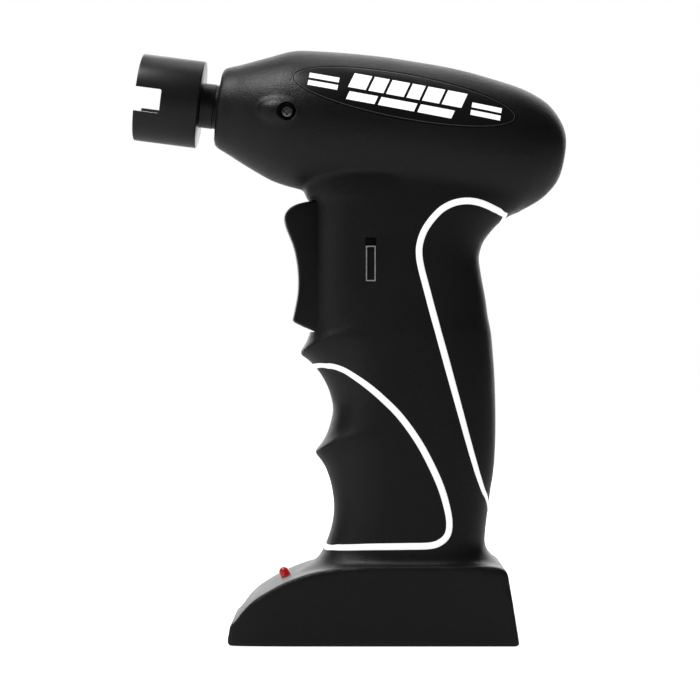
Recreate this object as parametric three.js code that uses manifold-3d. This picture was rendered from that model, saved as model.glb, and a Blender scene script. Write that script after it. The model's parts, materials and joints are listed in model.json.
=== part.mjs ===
// A battery-powered string winder: a pistol-shaped tool whose slotted socket turns a guitar's tuning keys.
//
// Millimetres, +Z up, standing on its foot. The origin is on the underside of the foot, at its middle.
// The socket points towards -X, so +X is the back of the hand and the two housing halves meet at Y = 0.
// Everything on the drive axis is made along its own +X, from the nose face backwards, in a tilted group.

import * as THREE from "three";
import { mergeVertices } from "three/addons/utils/BufferGeometryUtils.js";
import Module from "manifold-3d";

const wasm = await Module();
wasm.setup();

// ---------------------------------------------------------------- driving dimensions

const WALL = 2.8; // housing wall
const GAP = 0.3; // air between pieces that touch on the real tool
const SEAM = 0.15; // each housing half stops this far from the middle plane
const FINEST_DETAIL = 0.04; // facets that change a surface by less than this are merged
const SKIN = 1.2; // thickness of the grips, the piping and the badges, which lie in shallow recesses

const NOSE = new THREE.Vector3(-45.3, 0, 158); // centre of the nose face, on the drive axis
const TILT = THREE.MathUtils.degToRad(7.4); // the drive axis falls by this much towards the back
const BARREL_LENGTH = 103.4;

const SOCKET_RADIUS = 12.95;
const SOCKET_FRONT = -24.7;
const SOCKET_BACK = -6.7;
const SOCKET_FLOOR = -12.7; // bottom of the cup
const CUP_RADIUS = 10.3;
const HUB_RADIUS = 6.55;
const KEY_SLOT = { width: 7.1, depth: 7.7 };
const SOCKET_ROLL = THREE.MathUtils.degToRad(8); // where the slot has stopped, turned about the drive axis

const GEAR_MODULE = 0.6;
const TEETH = { sun: 12, planet: 15, ring: 42 }; // each stage turns 1 + 42 / 12 = 4.5 times slower
const PLANETS = 3;
const PLANET_ORBIT = ((TEETH.sun + TEETH.planet) * GEAR_MODULE) / 2;
const SHAFT_RADIUS = 4;

const TRIGGER_HALF_WIDTH = 8.5;
const TRIGGER_SPAN = [91.3, 129.8]; // lowest and highest Z of the finger piece
const FOOT_HALF_WIDTH = 22;
const FOOT_REACH = 42;
const FOOT_HEIGHT = 23.4;
const CELL = { radius: 7, spread: 7.15, bottom: 26.6, top: 76.1 };
const PARTING_PLANE_SCREWS = [
  { name: "housing_screw_rear", x: 50, z: 147, seat: 8 },
  { name: "housing_screw_upper", x: 25, z: 112, seat: 9 },
  { name: "housing_screw_grip", x: -4.6, z: 84.6, seat: 9 },
  { name: "housing_screw_foot_front", x: -9, z: 16, seat: 12 },
  { name: "housing_screw_foot_rear", x: 32, z: 16.4, seat: 12 },
];
const NOSE_SCREW = new THREE.Vector3(-25.1, 0, 154.9); // where the two radial nose screws sit, seen from the side

// ---------------------------------------------------------------- shape helpers

// A closed geometry as a solid that can be joined and cut. Faces that came out pointing inwards are turned round.
function solid(geometry) {
  const bare = geometry.clone();
  bare.deleteAttribute("normal");
  bare.deleteAttribute("uv");
  const merged = mergeVertices(bare, 1e-4);
  const make = (triVerts) =>
    new wasm.Manifold(
      new wasm.Mesh({ numProp: 3, vertProperties: merged.attributes.position.array, triVerts }),
    );
  const corners = new Uint32Array(merged.index.array);
  const made = make(corners);
  return made.volume() < 0 ? make(corners.reverse()) : made;
}

function geometryOf(manifold) {
  const { vertProperties, triVerts } = manifold.simplify(FINEST_DETAIL).getMesh();
  const geometry = new THREE.BufferGeometry();
  geometry.setAttribute("position", new THREE.BufferAttribute(vertProperties, 3));
  geometry.setIndex(new THREE.BufferAttribute(triVerts, 1));
  geometry.computeVertexNormals();
  return geometry;
}

// A smooth line through a few [place, value] pairs, level beyond both ends.
function through(pairs) {
  const slope = (i) => {
    const before = pairs[Math.max(i - 1, 0)];
    const after = pairs[Math.min(i + 1, pairs.length - 1)];
    return (after[1] - before[1]) / (after[0] - before[0]);
  };
  return (place) => {
    if (place <= pairs[0][0]) return pairs[0][1];
    const next = pairs.findIndex(([at]) => at > place);
    if (next < 0) return pairs.at(-1)[1];
    const [[start, low], [end, high]] = [pairs[next - 1], pairs[next]];
    const span = end - start;
    const t = (place - start) / span;
    return (
      low * (1 + 2 * t) * (1 - t) ** 2 +
      high * t * t * (3 - 2 * t) +
      span * slope(next - 1) * t * (1 - t) ** 2 -
      span * slope(next) * t * t * (1 - t)
    );
  };
}

// A closed tube through a row of rings that all have the same number of points.
function loft(rings) {
  const size = rings[0].length;
  const middle = (ring) =>
    ring.reduce((sum, point) => sum.add(point), new THREE.Vector3()).divideScalar(size);
  const points = [...rings.flat(), middle(rings[0]), middle(rings.at(-1))];
  const [startCap, endCap] = [points.length - 2, points.length - 1];
  const lastRing = (rings.length - 1) * size;
  const corners = [];
  for (let i = 0; i < size; i++) {
    const j = (i + 1) % size;
    for (let row = 0; row < lastRing; row += size) {
      corners.push(row + i, row + j, row + size + i, row + j, row + size + j, row + size + i);
    }
    corners.push(startCap, j, i, endCap, lastRing + i, lastRing + j);
  }
  return new THREE.BufferGeometry().setFromPoints(points).setIndex(corners);
}

// One ring: an oval whose four quarters may differ, squarer as `squareness` rises above 2.
const RING_POINTS = { fine: 20, coarse: 14 };
function ovalRing(place, { up, down, side, squareness = 2 }, count) {
  const bulge = (value) => Math.sign(value) * Math.abs(value) ** (2 / squareness);
  return Array.from({ length: count }, (_, i) => {
    const angle = (2 * Math.PI * i) / count;
    const rise = bulge(Math.sin(angle));
    return place(side * bulge(Math.cos(angle)), rise * (rise > 0 ? up : down));
  });
}

// A round piece about X, from [place along X, radius] pairs that start and end on the axis or close on themselves.
function turned(profile, segments = 16) {
  const points = profile.map(([place, radius]) => new THREE.Vector2(radius, place));
  return new THREE.LatheGeometry(points, segments).rotateZ(-Math.PI / 2);
}

function rod(from, to, radius, segments = 10) {
  return turned([[from, 0], [from, radius], [to, radius], [to, 0]], segments);
}

function tubeAlongX(from, to, inner, outer, segments = 16) {
  return turned([[from, inner], [from, outer], [to, outer], [to, inner], [from, inner]], segments);
}

function block([x0, x1], [y0, y1], [z0, z1]) {
  return new THREE.BoxGeometry(x1 - x0, y1 - y0, z1 - z0).translate(
    (x0 + x1) / 2,
    (y0 + y1) / 2,
    (z0 + z1) / 2,
  );
}

// A cylinder that runs across the tool, from one Y to another.
function crossPin(x, z, from, to, radius, segments = 10) {
  return rod(from, to, radius, segments).rotateZ(Math.PI / 2).translate(x, 0, z);
}

function uprightPin(x, y, from, to, radius, segments = 10) {
  return rod(from, to, radius, segments).rotateY(-Math.PI / 2).translate(x, y, 0);
}

// A side view, drawn in X and Z, given a width across the tool.
function sideSlab(shape, halfWidth, { bevel = 0, curveSegments = 6 } = {}) {
  const depth = 2 * (halfWidth - bevel);
  return new THREE.ExtrudeGeometry(shape, {
    depth,
    curveSegments,
    bevelEnabled: bevel > 0,
    bevelThickness: bevel,
    bevelSize: bevel,
    bevelOffset: -bevel,
    bevelSegments: 2,
  })
    .translate(0, 0, -depth / 2)
    .rotateX(Math.PI / 2);
}

const joined = (...solids) => solids.reduce((all, one) => all.add(one));

// ---------------------------------------------------------------- outer form of the housing

// Distances from the drive axis to the barrel's outline, against the distance behind the nose face.
const barrelTop = through([
  [0, 11.3], [4.6, 13.4], [13.7, 17], [23, 19.5], [35, 20.8], [50, 21.1], [64, 20.6],
  [78.5, 18.9], [88.5, 17], [96, 13.9], [101.7, 7.8], [103.4, 3.6],
]);
const barrelUnderside = through([
  [0, 11.3], [9, 15.8], [18.8, 19.6], [28, 21], [50, 21.1], [78, 21.4], [89.6, 20.7],
  [95.5, 17], [100.1, 12.9], [103.3, 5],
]);
const barrelSide = through([
  [0, 11.3], [9, 15.5], [18.8, 18.9], [28, 20.4], [50, 21], [70, 20.6], [85, 18.8],
  [95, 14.8], [101, 9.2], [103.4, 4],
]);
const BARREL_STATIONS = {
  fine: [0, 5, 12, 19, 27, 38, 53, 68, 80, 88, 94, 99, 102, 103.4],
  coarse: [0, 11, 25, 50, 76, 91, 98, 103.4],
};
const TO_WORLD = new THREE.Matrix4()
  .makeTranslation(NOSE.x, NOSE.y, NOSE.z)
  .multiply(new THREE.Matrix4().makeRotationY(TILT));

function barrel(inset, detail) {
  const rings = BARREL_STATIONS[detail].map((station) => {
    const along = THREE.MathUtils.mapLinear(station, 0, BARREL_LENGTH, inset, BARREL_LENGTH - inset);
    const distances = {
      up: Math.max(barrelTop(station) - inset, 0.5),
      down: Math.max(barrelUnderside(station) - inset, 0.5),
      side: Math.max(barrelSide(station) - inset, 0.5),
    };
    return ovalRing((y, h) => new THREE.Vector3(along, y, h), distances, RING_POINTS[detail]);
  });
  return solid(loft(rings).applyMatrix4(TO_WORLD));
}

// The front of the handle is a row of finger hollows between ridges, from the foot up to the trigger.
const FINGER_RIDGES = [[24.8, -15.8], [55.3, -16.7], [84.8, -20.8], [90.6, -18.4]];
const HOLLOW_DEPTHS = [4.65, 6.7, 0.3];
const foreFoot = through([[20.5, -21.5], [23, -17.4], [24.8, -15.8]]);
const foreUpper = through([[90.6, -18.4], [92, -17.2], [129, -17], [130.6, -19.6], [136, -20.4]]);
function handleFront(z) {
  if (z < FINGER_RIDGES[0][0]) return foreFoot(z);
  const next = FINGER_RIDGES.findIndex(([ridge]) => ridge > z);
  if (next < 0) return foreUpper(z);
  const [[low, xLow], [high, xHigh]] = [FINGER_RIDGES[next - 1], FINGER_RIDGES[next]];
  const t = (z - low) / (high - low);
  return xLow + (xHigh - xLow) * t + HOLLOW_DEPTHS[next - 1] * 4 * t * (1 - t);
}
const handleBack = through([
  [20.5, 39.2], [23, 37.4], [25, 35.2], [28.4, 33.3], [32, 33.2], [42.7, 35], [50, 36.1],
  [62, 36.6], [78, 36.3], [95, 34.5], [107, 32.3], [113, 31.5], [118, 33], [121.5, 35.6],
  [125.1, 39.7], [128, 43.5],
]);
const handleSide = through([
  [20.5, 20.8], [23.5, 18.9], [27, 18.1], [60, 18.1], [85, 17.8], [105, 16.6], [118, 16.3],
  [128, 17], [140, 17],
]);
const handleSquareness = through([[20, 3.2], [40, 2.7], [80, 2.8], [105, 3], [140, 2.8]]);
const HANDLE_MIDDLE = 12;
const HANDLE_STATIONS = {
  fine: [
    16, 20.5, 23, 26, 32, 40, 48, 52.6, 55.3, 58.2, 63, 70, 77.5, 82, 84.8, 88, 90.9, 101, 112, 119,
    124, 129.8, 140,
  ],
  coarse: [16, 20.5, 26, 32, 40, 48, 55.3, 63, 70, 77.5, 84.8, 91, 112, 119, 124, 129, 140],
};

function handle(inset, detail) {
  const rings = HANDLE_STATIONS[detail].map((z) => {
    const distances = {
      up: handleBack(z) - HANDLE_MIDDLE - inset,
      down: HANDLE_MIDDLE - handleFront(z) - inset,
      side: handleSide(z) - inset,
      squareness: handleSquareness(z),
    };
    return ovalRing((y, x) => new THREE.Vector3(HANDLE_MIDDLE + x, y, z), distances, RING_POINTS[detail]);
  });
  return solid(loft(rings));
}

// The foot: a ramp at the front, a leaning back, and a rounded bow when seen from above.
const footSide = new THREE.Shape();
footSide.moveTo(-41.6, 0);
footSide.lineTo(-42, 3);
footSide.bezierCurveTo(-40.6, 7.4, -36.8, 12.2, -32.4, 15);
footSide.bezierCurveTo(-27, 18.4, -18.5, 22.6, -4, 23);
footSide.lineTo(32, 23.4);
footSide.quadraticCurveTo(37.8, 23.4, 39.2, 18.4);
footSide.lineTo(42.1, 2.6);
footSide.lineTo(41.6, 0);

const footPlan = new THREE.Shape();
footPlan.moveTo(50, -FOOT_HALF_WIDTH);
footPlan.lineTo(50, FOOT_HALF_WIDTH);
footPlan.lineTo(-8, FOOT_HALF_WIDTH);
footPlan.bezierCurveTo(-25, FOOT_HALF_WIDTH, -36, FOOT_HALF_WIDTH - 4, -43, FOOT_HALF_WIDTH - 9);
footPlan.lineTo(-43, 9 - FOOT_HALF_WIDTH);
footPlan.bezierCurveTo(-36, 4 - FOOT_HALF_WIDTH, -25, -FOOT_HALF_WIDTH, -8, -FOOT_HALF_WIDTH);

// The smaller foot of the hollow is the outer one scaled down towards the middle of its underside.
function foot(inset) {
  const shrunk = (geometry) =>
    solid(geometry.scale(1 - inset / FOOT_REACH, 1 - inset / FOOT_HALF_WIDTH, 1 - inset / FOOT_HEIGHT));
  const upright = new THREE.ExtrudeGeometry(footPlan, { depth: 40, bevelEnabled: false, curveSegments: 6 });
  const slab = sideSlab(footSide, FOOT_HALF_WIDTH, { bevel: 1.6 });
  return shrunk(slab).intersect(shrunk(upright.translate(0, 0, -5)));
}

// The whole outside, or the same moved inwards. The hollow has fewer facets than what can be seen.
const formAt = (inset, detail = "fine") =>
  joined(barrel(inset, detail), handle(inset, detail), foot(inset));
const outerForm = formAt(0);
const underSkin = formAt(SKIN); // the back face of everything laid into the skin
const recessFloor = formAt(SKIN + GAP);

// ---------------------------------------------------------------- side-view regions of the grips, piping and badge

const PIPING_WIDTH = 1.55;
const toVectors = (pairs) => pairs.map(([x, z]) => new THREE.Vector2(x, z));

// The piping lines as they are drawn on the side of the handle. Both run out past the handle's edge at both ends.
const FRONT_LINE = new THREE.SplineCurve(
  toVectors([
    [-27, 80.3], [-17.5, 80.8], [-12.7, 80.9], [-6.9, 78.8], [-1.7, 75.3], [7.7, 66.5],
    [16.6, 52.6], [21.7, 38.6], [21.9, 33], [20, 29.9], [16.3, 28.6], [0, 28.2], [-15.1, 27.4], [-25, 27],
  ]),
).getSpacedPoints(18);
const REAR_LINE = new THREE.SplineCurve(
  toVectors([
    [50, 120.5], [40.8, 125.4], [36.9, 127.2], [32.4, 128.7], [28.3, 129.1], [24.2, 128.7],
    [18.8, 125.9], [15, 120.8], [13.3, 114.5], [13.9, 109.5], [18, 94.4], [22.7, 77], [27.6, 59.5],
    [31.3, 47.4], [34.9, 39.2], [40, 30],
  ]),
).getSpacedPoints(18);

// The line's points, moved sideways.
function shifted(points, distance) {
  return points.map((point, i) => {
    const before = points[Math.max(i - 1, 0)];
    const after = points[Math.min(i + 1, points.length - 1)];
    const along = after.clone().sub(before).normalize();
    return new THREE.Vector2(point.x - along.y * distance, point.y + along.x * distance);
  });
}

const throughHandle = (shape) => solid(sideSlab(shape, 30));
const band = (line, halfWidth) =>
  throughHandle(new THREE.Shape([...shifted(line, halfWidth), ...shifted(line, -halfWidth).reverse()]));
// Everything on the grip's side of a line, as far as a corner well outside the handle.
const grippedSide = (line, distance, corners) =>
  throughHandle(new THREE.Shape([...shifted(line, distance), ...toVectors(corners)]));

const PIPING = {
  front: { line: FRONT_LINE, inward: -1, corners: [] },
  rear: { line: REAR_LINE, inward: 1, corners: [[62, 30], [62, 120]] },
};
const HALF_PIPING = PIPING_WIDTH / 2;

const badgeShape = new THREE.Shape();
badgeShape.absellipse(9.1, 159.3, 32.8, 6.9, 0, 2 * Math.PI, false, THREE.MathUtils.degToRad(-10.6));
const badgeRecessShape = new THREE.Shape();
badgeRecessShape.absellipse(9.1, 159.3, 33.1, 7.2, 0, 2 * Math.PI, false, THREE.MathUtils.degToRad(-10.6));
const badgeRegion = solid(sideSlab(badgeShape, 30, { curveSegments: 13 }));
const badgeRecess = solid(sideSlab(badgeRecessShape, 30, { curveSegments: 13 }));
const BADGE_THICKNESS = 0.6;
const barrelUnderBadge = formAt(BADGE_THICKNESS);
const badgeRecessFloor = formAt(BADGE_THICKNESS + GAP);

const halfSpace = (side) => solid(block([-90, 90], side < 0 ? [-60, -SEAM] : [SEAM, 60], [-20, 200]));
const half = { left: halfSpace(-1), right: halfSpace(1) };

// ---------------------------------------------------------------- housing halves

const LED = { x: -25.9, z: 18.3, lean: THREE.MathUtils.degToRad(-24) };
const HATCH = { x: [-8.7, 35.2], y: [-16.2, 16.2], thickness: 2 };
const HATCH_SCREWS = [{ name: "hatch_screw_left", y: -9.5 }, { name: "hatch_screw_right", y: 9.5 }];
const HATCH_SCREW_X = 31;
const JACK_Z = 8.1;
const SWITCH_SLOT = { x: [-2.4, 1.2], z: [105.4, 118.2] };

function grown([low, high], by) {
  return [low - by, high + by];
}

function housing() {
  const hollow = formAt(WALL, "coarse").subtract(solid(block([-50, 50], [-30, 30], [-5, 4.2])));
  const inBarrel = (geometry) => solid(geometry.applyMatrix4(TO_WORLD));
  const cradles = [[38, 40], [68, 70]].map(([from, to]) => inBarrel(rod(from, to, 20.5, 20)));
  const bosses = [
    ...PARTING_PLANE_SCREWS.flatMap(({ x, z }) => [
      solid(crossPin(x, z, -30, 0, 3)),
      solid(crossPin(x, z, 0, 30, 4.3)),
    ]),
    solid(crossPin(NOSE_SCREW.x, NOSE_SCREW.z, -25, -15.4, 4.2)),
    solid(crossPin(NOSE_SCREW.x, NOSE_SCREW.z, 15.4, 25, 4.2)),
    ...HATCH_SCREWS.map(({ y }) => solid(uprightPin(HATCH_SCREW_X, y, 4, 8, 3.2))),
    ...[-1, 1].map((side) => solid(uprightPin(-20, side * 10, 3, 7.7, 1.8, 10))),
  ];
  const shell = outerForm.subtract(hollow).add(joined(...cradles, ...bosses).intersect(underSkin));
  const cuts = joined(
    inBarrel(rod(-5, 12, 7.1, 20)), // nose hole
    inBarrel(rod(12, 86, 14.4, 20)), // room for the motor
    inBarrel(rod(15.6, 26, 15.5, 20)), // room for the gearbox cover
    inBarrel(rod(25, 47, 16.8, 20)), // room for the ring gear
    ...[-1, 1].flatMap((side) => [
      solid(crossPin(NOSE_SCREW.x, NOSE_SCREW.z, side * 17, side * 30, 2.75)),
      solid(crossPin(NOSE_SCREW.x, NOSE_SCREW.z, side * 12, side * 30, 1.5)),
    ]),
    ...PARTING_PLANE_SCREWS.flatMap(({ x, z, seat }) => [
      solid(crossPin(x, z, -9, 30, 1.55)),
      solid(crossPin(x, z, seat, 30, 3)),
    ]),
    solid(block([-40, -9], grown([-TRIGGER_HALF_WIDTH, TRIGGER_HALF_WIDTH], GAP), grown(TRIGGER_SPAN, GAP))),
    solid(block(grown(HATCH.x, GAP), grown(HATCH.y, GAP), [-3, HATCH.thickness + GAP])),
    solid(block([-3, 26], [-13, 13], [-3, 6])),
    ...HATCH_SCREWS.map(({ y }) => solid(uprightPin(HATCH_SCREW_X, y, -3, 12, 1.5))),
    solid(rod(33, 50, 3.6).translate(0, 0, JACK_Z)),
    solid(rod(-5, 6, 1.85).rotateY(-Math.PI / 2).rotateY(LED.lean).translate(LED.x, 0, LED.z)),
    badgeRecess.subtract(badgeRecessFloor),
    ...Object.values(PIPING).map(({ line, inward, corners }) =>
      grippedSide(line, -inward * (HALF_PIPING + GAP), corners).subtract(recessFloor),
    ),
  );
  const whole = shell.subtract(cuts);
  const slot = solid(block(SWITCH_SLOT.x, [-30, -10], SWITCH_SLOT.z));
  return {
    left_shell: whole.intersect(half.left).subtract(slot),
    right_shell: whole.intersect(half.right),
  };
}

// ---------------------------------------------------------------- gears

const PRESSURE_ANGLE = THREE.MathUtils.degToRad(20);

// A gear's outline with involute flanks. A tooth is centred on angle `phase`; `thin` is taken off each flank.
function gearOutline(teeth, { addendum, dedendum, thin, phase = 0 }) {
  const pitch = (teeth * GEAR_MODULE) / 2;
  const base = pitch * Math.cos(PRESSURE_ANGLE);
  const involute = (angle) => Math.tan(angle) - angle;
  const halfTooth = (radius) =>
    Math.PI / (2 * teeth) -
    thin / pitch +
    involute(PRESSURE_ANGLE) -
    involute(Math.acos(Math.min(1, base / radius)));
  const flank = [pitch - dedendum, pitch + addendum];
  const points = [];
  for (let tooth = 0; tooth < teeth; tooth++) {
    const centre = phase + (2 * Math.PI * tooth) / teeth;
    const corner = (radius, side) => {
      const angle = centre + side * halfTooth(Math.max(radius, base));
      points.push(new THREE.Vector2(radius * Math.cos(angle), radius * Math.sin(angle)));
    };
    flank.forEach((radius) => corner(radius, -1));
    flank.toReversed().forEach((radius) => corner(radius, 1));
  }
  return points;
}

function circle(radius, points) {
  return Array.from({ length: points }, (_, i) => {
    const angle = (2 * Math.PI * i) / points;
    return new THREE.Vector2(radius * Math.cos(angle), radius * Math.sin(angle));
  });
}

// A flat outline, drawn square to the drive axis, given a length along it.
function alongDrive(outline, hole, from, to) {
  const shape = new THREE.Shape(outline);
  if (hole) shape.holes.push(new THREE.Path(hole));
  return new THREE.ExtrudeGeometry(shape, { depth: to - from, bevelEnabled: false })
    .rotateY(Math.PI / 2)
    .translate(from, 0, 0);
}

const EXTERNAL = { addendum: 0.8 * GEAR_MODULE, dedendum: 1.05 * GEAR_MODULE, thin: 0.07 };
const sunGap = Math.PI / TEETH.sun; // half a tooth pitch: the sun shows a gap to each planet
const stages = [
  { name: "first", gear: [39.9, 44.3] },
  { name: "second", gear: [30, 35.6] },
];

function carrier(discFrom, pinTo) {
  const disc = discFrom + 3;
  const pins = Array.from({ length: PLANETS }, (_, i) => {
    const turn = (2 * Math.PI * i) / PLANETS;
    return solid(rod(disc - 1, pinTo, 1.5, 8).translate(0, 0, -PLANET_ORBIT).rotateX(turn));
  });
  return joined(solid(rod(discFrom, disc, 11.3, 20)), ...pins);
}

function gearbox() {
  const ringHole = gearOutline(TEETH.ring, {
    addendum: 1.1 * GEAR_MODULE,
    dedendum: 0.8 * GEAR_MODULE,
    thin: -0.07,
    phase: Math.PI / TEETH.ring,
  });
  const ring = solid(alongDrive(circle(16.2, 20), ringHole, 25.2, 45.4));
  const coverScrewHole = crossPin(NOSE_SCREW.x, NOSE_SCREW.z, -25, 25, 1.45).applyMatrix4(
    TO_WORLD.clone().invert(),
  );
  const cover = solid(
    turned([[14.2, 7], [14.2, 12.6], [16.6, 14.9], [24.9, 14.9], [24.9, 7], [14.2, 7]], 20),
  ).subtract(solid(coverScrewHole).subtract(solid(rod(10, 30, 9.5))));
  const sun = (from, to) =>
    solid(alongDrive(gearOutline(TEETH.sun, { ...EXTERNAL, phase: sunGap }), null, from, to));
  const spindle = joined(
    solid(turned([[-7.4, 0], [-7.4, SHAFT_RADIUS], [11.6, SHAFT_RADIUS], [11.6, 3.2], [12.9, 3.2],
      [12.9, SHAFT_RADIUS], [26, SHAFT_RADIUS], [26, 0]])),
    carrier(25.6, 35.9),
  ).subtract(solid(rod(-10, 0, 1.75)));
  return {
    gearbox_cover: cover,
    spindle_bush: solid(tubeAlongX(14.2, 24.6, 4.35, 6.7)),
    ring_gear: ring,
    motor_plate: solid(tubeAlongX(45.7, 46.9, 5.6, 16.2, 20)),
    motor_can: solid(
      turned([[45.8, 1.5], [45.8, 5.2], [47.2, 5.2], [47.2, 13.6], [47.6, 13.85], [81.8, 13.85],
        [81.8, 0], [58, 0], [58, 1.5], [45.8, 1.5]], 20),
    ),
    motor_end_cap: joined(
      solid(turned([[82.1, 0], [82.1, 13.3], [83.4, 13.3], [84.6, 12.2], [84.6, 4], [86, 3.4], [86, 0]], 20)),
      ...[-1, 1].map((side) => solid(block([84, 88], [side * 6 - 1.6, side * 6 + 1.6], [-0.4, 0.4]))),
    ),
    motor_pinion: sun(39.6, 44.6).add(solid(rod(44, 57, 1.15))),
    output_spindle: spindle,
    intermediate_carrier: carrier(36.2, 44.5).add(sun(29.6, 36.6)),
    spindle_clip: solid(tubeAlongX(11.9, 12.6, 3.5, 6, 20)),
  };
}

// A planet on its own centre, with a tooth pointing at the sun, which lies above it.
function planet([from, to]) {
  const outline = gearOutline(TEETH.planet, { ...EXTERNAL, phase: Math.PI });
  return alongDrive(outline, circle(1.85, 8), from, to);
}

// ---------------------------------------------------------------- winder socket

function socket() {
  const chamfer = 0.5;
  const body = turned(
    [
      [SOCKET_FLOOR, 1.8], [SOCKET_FLOOR, CUP_RADIUS], [SOCKET_FRONT, CUP_RADIUS],
      [SOCKET_FRONT, SOCKET_RADIUS - chamfer], [SOCKET_FRONT + chamfer, SOCKET_RADIUS],
      [SOCKET_BACK - chamfer, SOCKET_RADIUS], [SOCKET_BACK, SOCKET_RADIUS - chamfer],
      [SOCKET_BACK, HUB_RADIUS], [-2, HUB_RADIUS], [-1.8, HUB_RADIUS - 0.25], [-1.5, HUB_RADIUS],
      [3, HUB_RADIUS], [3, SHAFT_RADIUS + 0.35], [-7.8, SHAFT_RADIUS + 0.35], [-7.8, 1.8],
      [SOCKET_FLOOR, 1.8],
    ],
    28,
  );
  const slot = block(
    [SOCKET_FRONT - 5, SOCKET_FRONT + KEY_SLOT.depth],
    [-20, 20],
    [-KEY_SLOT.width / 2, KEY_SLOT.width / 2],
  );
  return solid(body).subtract(solid(slot));
}

function screw(headFrom, headRadius, headHeight, tip, shankRadius) {
  return turned(
    [
      [headFrom, 0], [headFrom, headRadius * 0.6], [headFrom + 0.35 * headHeight, headRadius],
      [headFrom + headHeight, headRadius], [headFrom + headHeight, shankRadius],
      [tip - shankRadius, shankRadius], [tip, 0],
    ],
    8,
  );
}

// ---------------------------------------------------------------- trigger, switches

const SPRING = { from: -7.5, to: 1.7, radius: 4, wire: 0.35, turns: 5 };
const TRIGGER_AXIS_Z = 111;

function trigger() {
  const [low, high] = TRIGGER_SPAN;
  const profile = new THREE.Shape();
  profile.moveTo(-9, low);
  profile.lineTo(-17.6, low);
  profile.lineTo(-22.6, 93.2);
  profile.quadraticCurveTo(-24.1, 93.8, -23.8, 95.6);
  profile.bezierCurveTo(-22.9, 101.5, -21.2, 108, -23.6, 115.2);
  profile.bezierCurveTo(-24.8, 118.9, -26.5, 122, -26.3, 124.8);
  profile.quadraticCurveTo(-26.1, 127.7, -20, high);
  profile.lineTo(-9, high);
  const finger = solid(sideSlab(profile, TRIGGER_HALF_WIDTH, { bevel: 1.3 }));
  const lip = solid(block([-9.1, -7.8], [-9.3, 9.3], [low - 1.5, high + 1.5]));
  const post = solid(rod(-8.5, -5.2, 2.6).translate(0, 0, TRIGGER_AXIS_Z));
  return joined(finger, lip, post);
}

class Helix extends THREE.Curve {
  getPoint(t, target = new THREE.Vector3()) {
    const { from, to, radius, wire, turns } = SPRING;
    const angle = 2 * Math.PI * turns * t;
    const along = from + wire + (to - from - 2 * wire) * t;
    return target.set(along, radius * Math.cos(angle), TRIGGER_AXIS_Z + radius * Math.sin(angle));
  }
}

function wire(path, radius, steps, sides) {
  return new THREE.ExtrudeGeometry(new THREE.Shape(circle(radius, sides)), {
    steps,
    extrudePath: path,
    bevelEnabled: false,
  });
}

const lead = (points, mirror) =>
  wire(new THREE.CatmullRomCurve3(points.map(([x, y, z]) => new THREE.Vector3(x, mirror * y, z))), 0.8, 9, 5);

const MOTOR_LEAD = [
  [42.6, 6, 146.1], [42.4, 6, 140], [39, 5.4, 133.6], [34, 5, 127.6], [28, 5, 125.2], [16, 4.6, 124.6],
  [11.6, 4, 123.2], [11.4, 4, 121.3],
];
const BATTERY_LEAD = [[19.4, 7.4, 76.6], [20, 7.2, 83], [15.5, 5.4, 92], [12, 4, 100.6]];
const CHARGE_LEAD = [[28.1, 2.4, 8.2], [21, 3, 6.8], [6, 3, 6.2], [-4, 3, 7.4], [-7.6, 3, 8.6]];

// ---------------------------------------------------------------- charge indicator, jack, hatch

function indicator() {
  const legs = [-0.9, 0.9].map((y) => solid(block([-0.25, 0.25], [y - 0.25, y + 0.25], [-9.2, -3.6])));
  const dome = Array.from({ length: 4 }, (_, i) => {
    const angle = (i * Math.PI) / 6;
    return [1.4 + 1.5 * Math.sin(angle), 1.5 * Math.cos(angle)];
  });
  const lens = turned([[-4, 0], [-4, 1.8], [-3, 1.8], [-3, 1.5], ...dome.slice(0, 3), [2.9, 0]], 16);
  return joined(solid(lens.rotateY(-Math.PI / 2)), ...legs);
}

function jack() {
  const body = joined(
    solid(block([28.4, 37.2], [-4.5, 4.5], [JACK_Z - 3.4, JACK_Z + 3.4])),
    solid(rod(37, 40.2, 3.3).translate(0, 0, JACK_Z)),
  );
  return joined(
    body.subtract(solid(rod(30.2, 45, 2.7).translate(0, 0, JACK_Z))),
    solid(rod(29, 39, 0.9, 10).translate(0, 0, JACK_Z)),
  );
}

function hatch() {
  const ribs = [-7.4, 7.4].map((y) => solid(block([3, 21], [y - 1, y + 1], [1, CELL.bottom - GAP])));
  const plate = joined(solid(block(HATCH.x, HATCH.y, [0, HATCH.thickness])), ...ribs);
  const holes = HATCH_SCREWS.flatMap(({ y }) => [
    solid(uprightPin(HATCH_SCREW_X, y, -1, 1.3, 2.7)),
    solid(uprightPin(HATCH_SCREW_X, y, -1, 3, 1.5)),
  ]);
  return plate.subtract(joined(...holes));
}

function chargeBoard() {
  const board = solid(block([-31, -8], [-12, 12], [8, 9.5]));
  const chips = [
    block([-18, -12], [-8, -2], [9.3, 11.2]),
    block([-17, -13], [3, 9], [9.3, 11.4]),
  ];
  return joined(board, ...chips.map(solid));
}

function mainSwitch() {
  const body = solid(block([2, 18], [-7.5, 7.5], [101, 121]));
  return body.subtract(solid(rod(0, 9.6, 2).translate(0, 0, TRIGGER_AXIS_Z)));
}

const LEVER_REST = 110.9; // height of the lever's middle, at the bottom of its travel

function directionLever() {
  return joined(
    solid(block([-2.1, 0.9], [-16, -11.5], [LEVER_REST - 5.1, LEVER_REST + 5.1])),
    solid(block([-3.6, 2.4], [-11.7, -10.9], [LEVER_REST - 7.3, LEVER_REST + 7.3])),
    solid(block([-1.6, 0.4], [-11.2, -9], [LEVER_REST - 1, LEVER_REST + 1])),
  );
}

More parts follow.
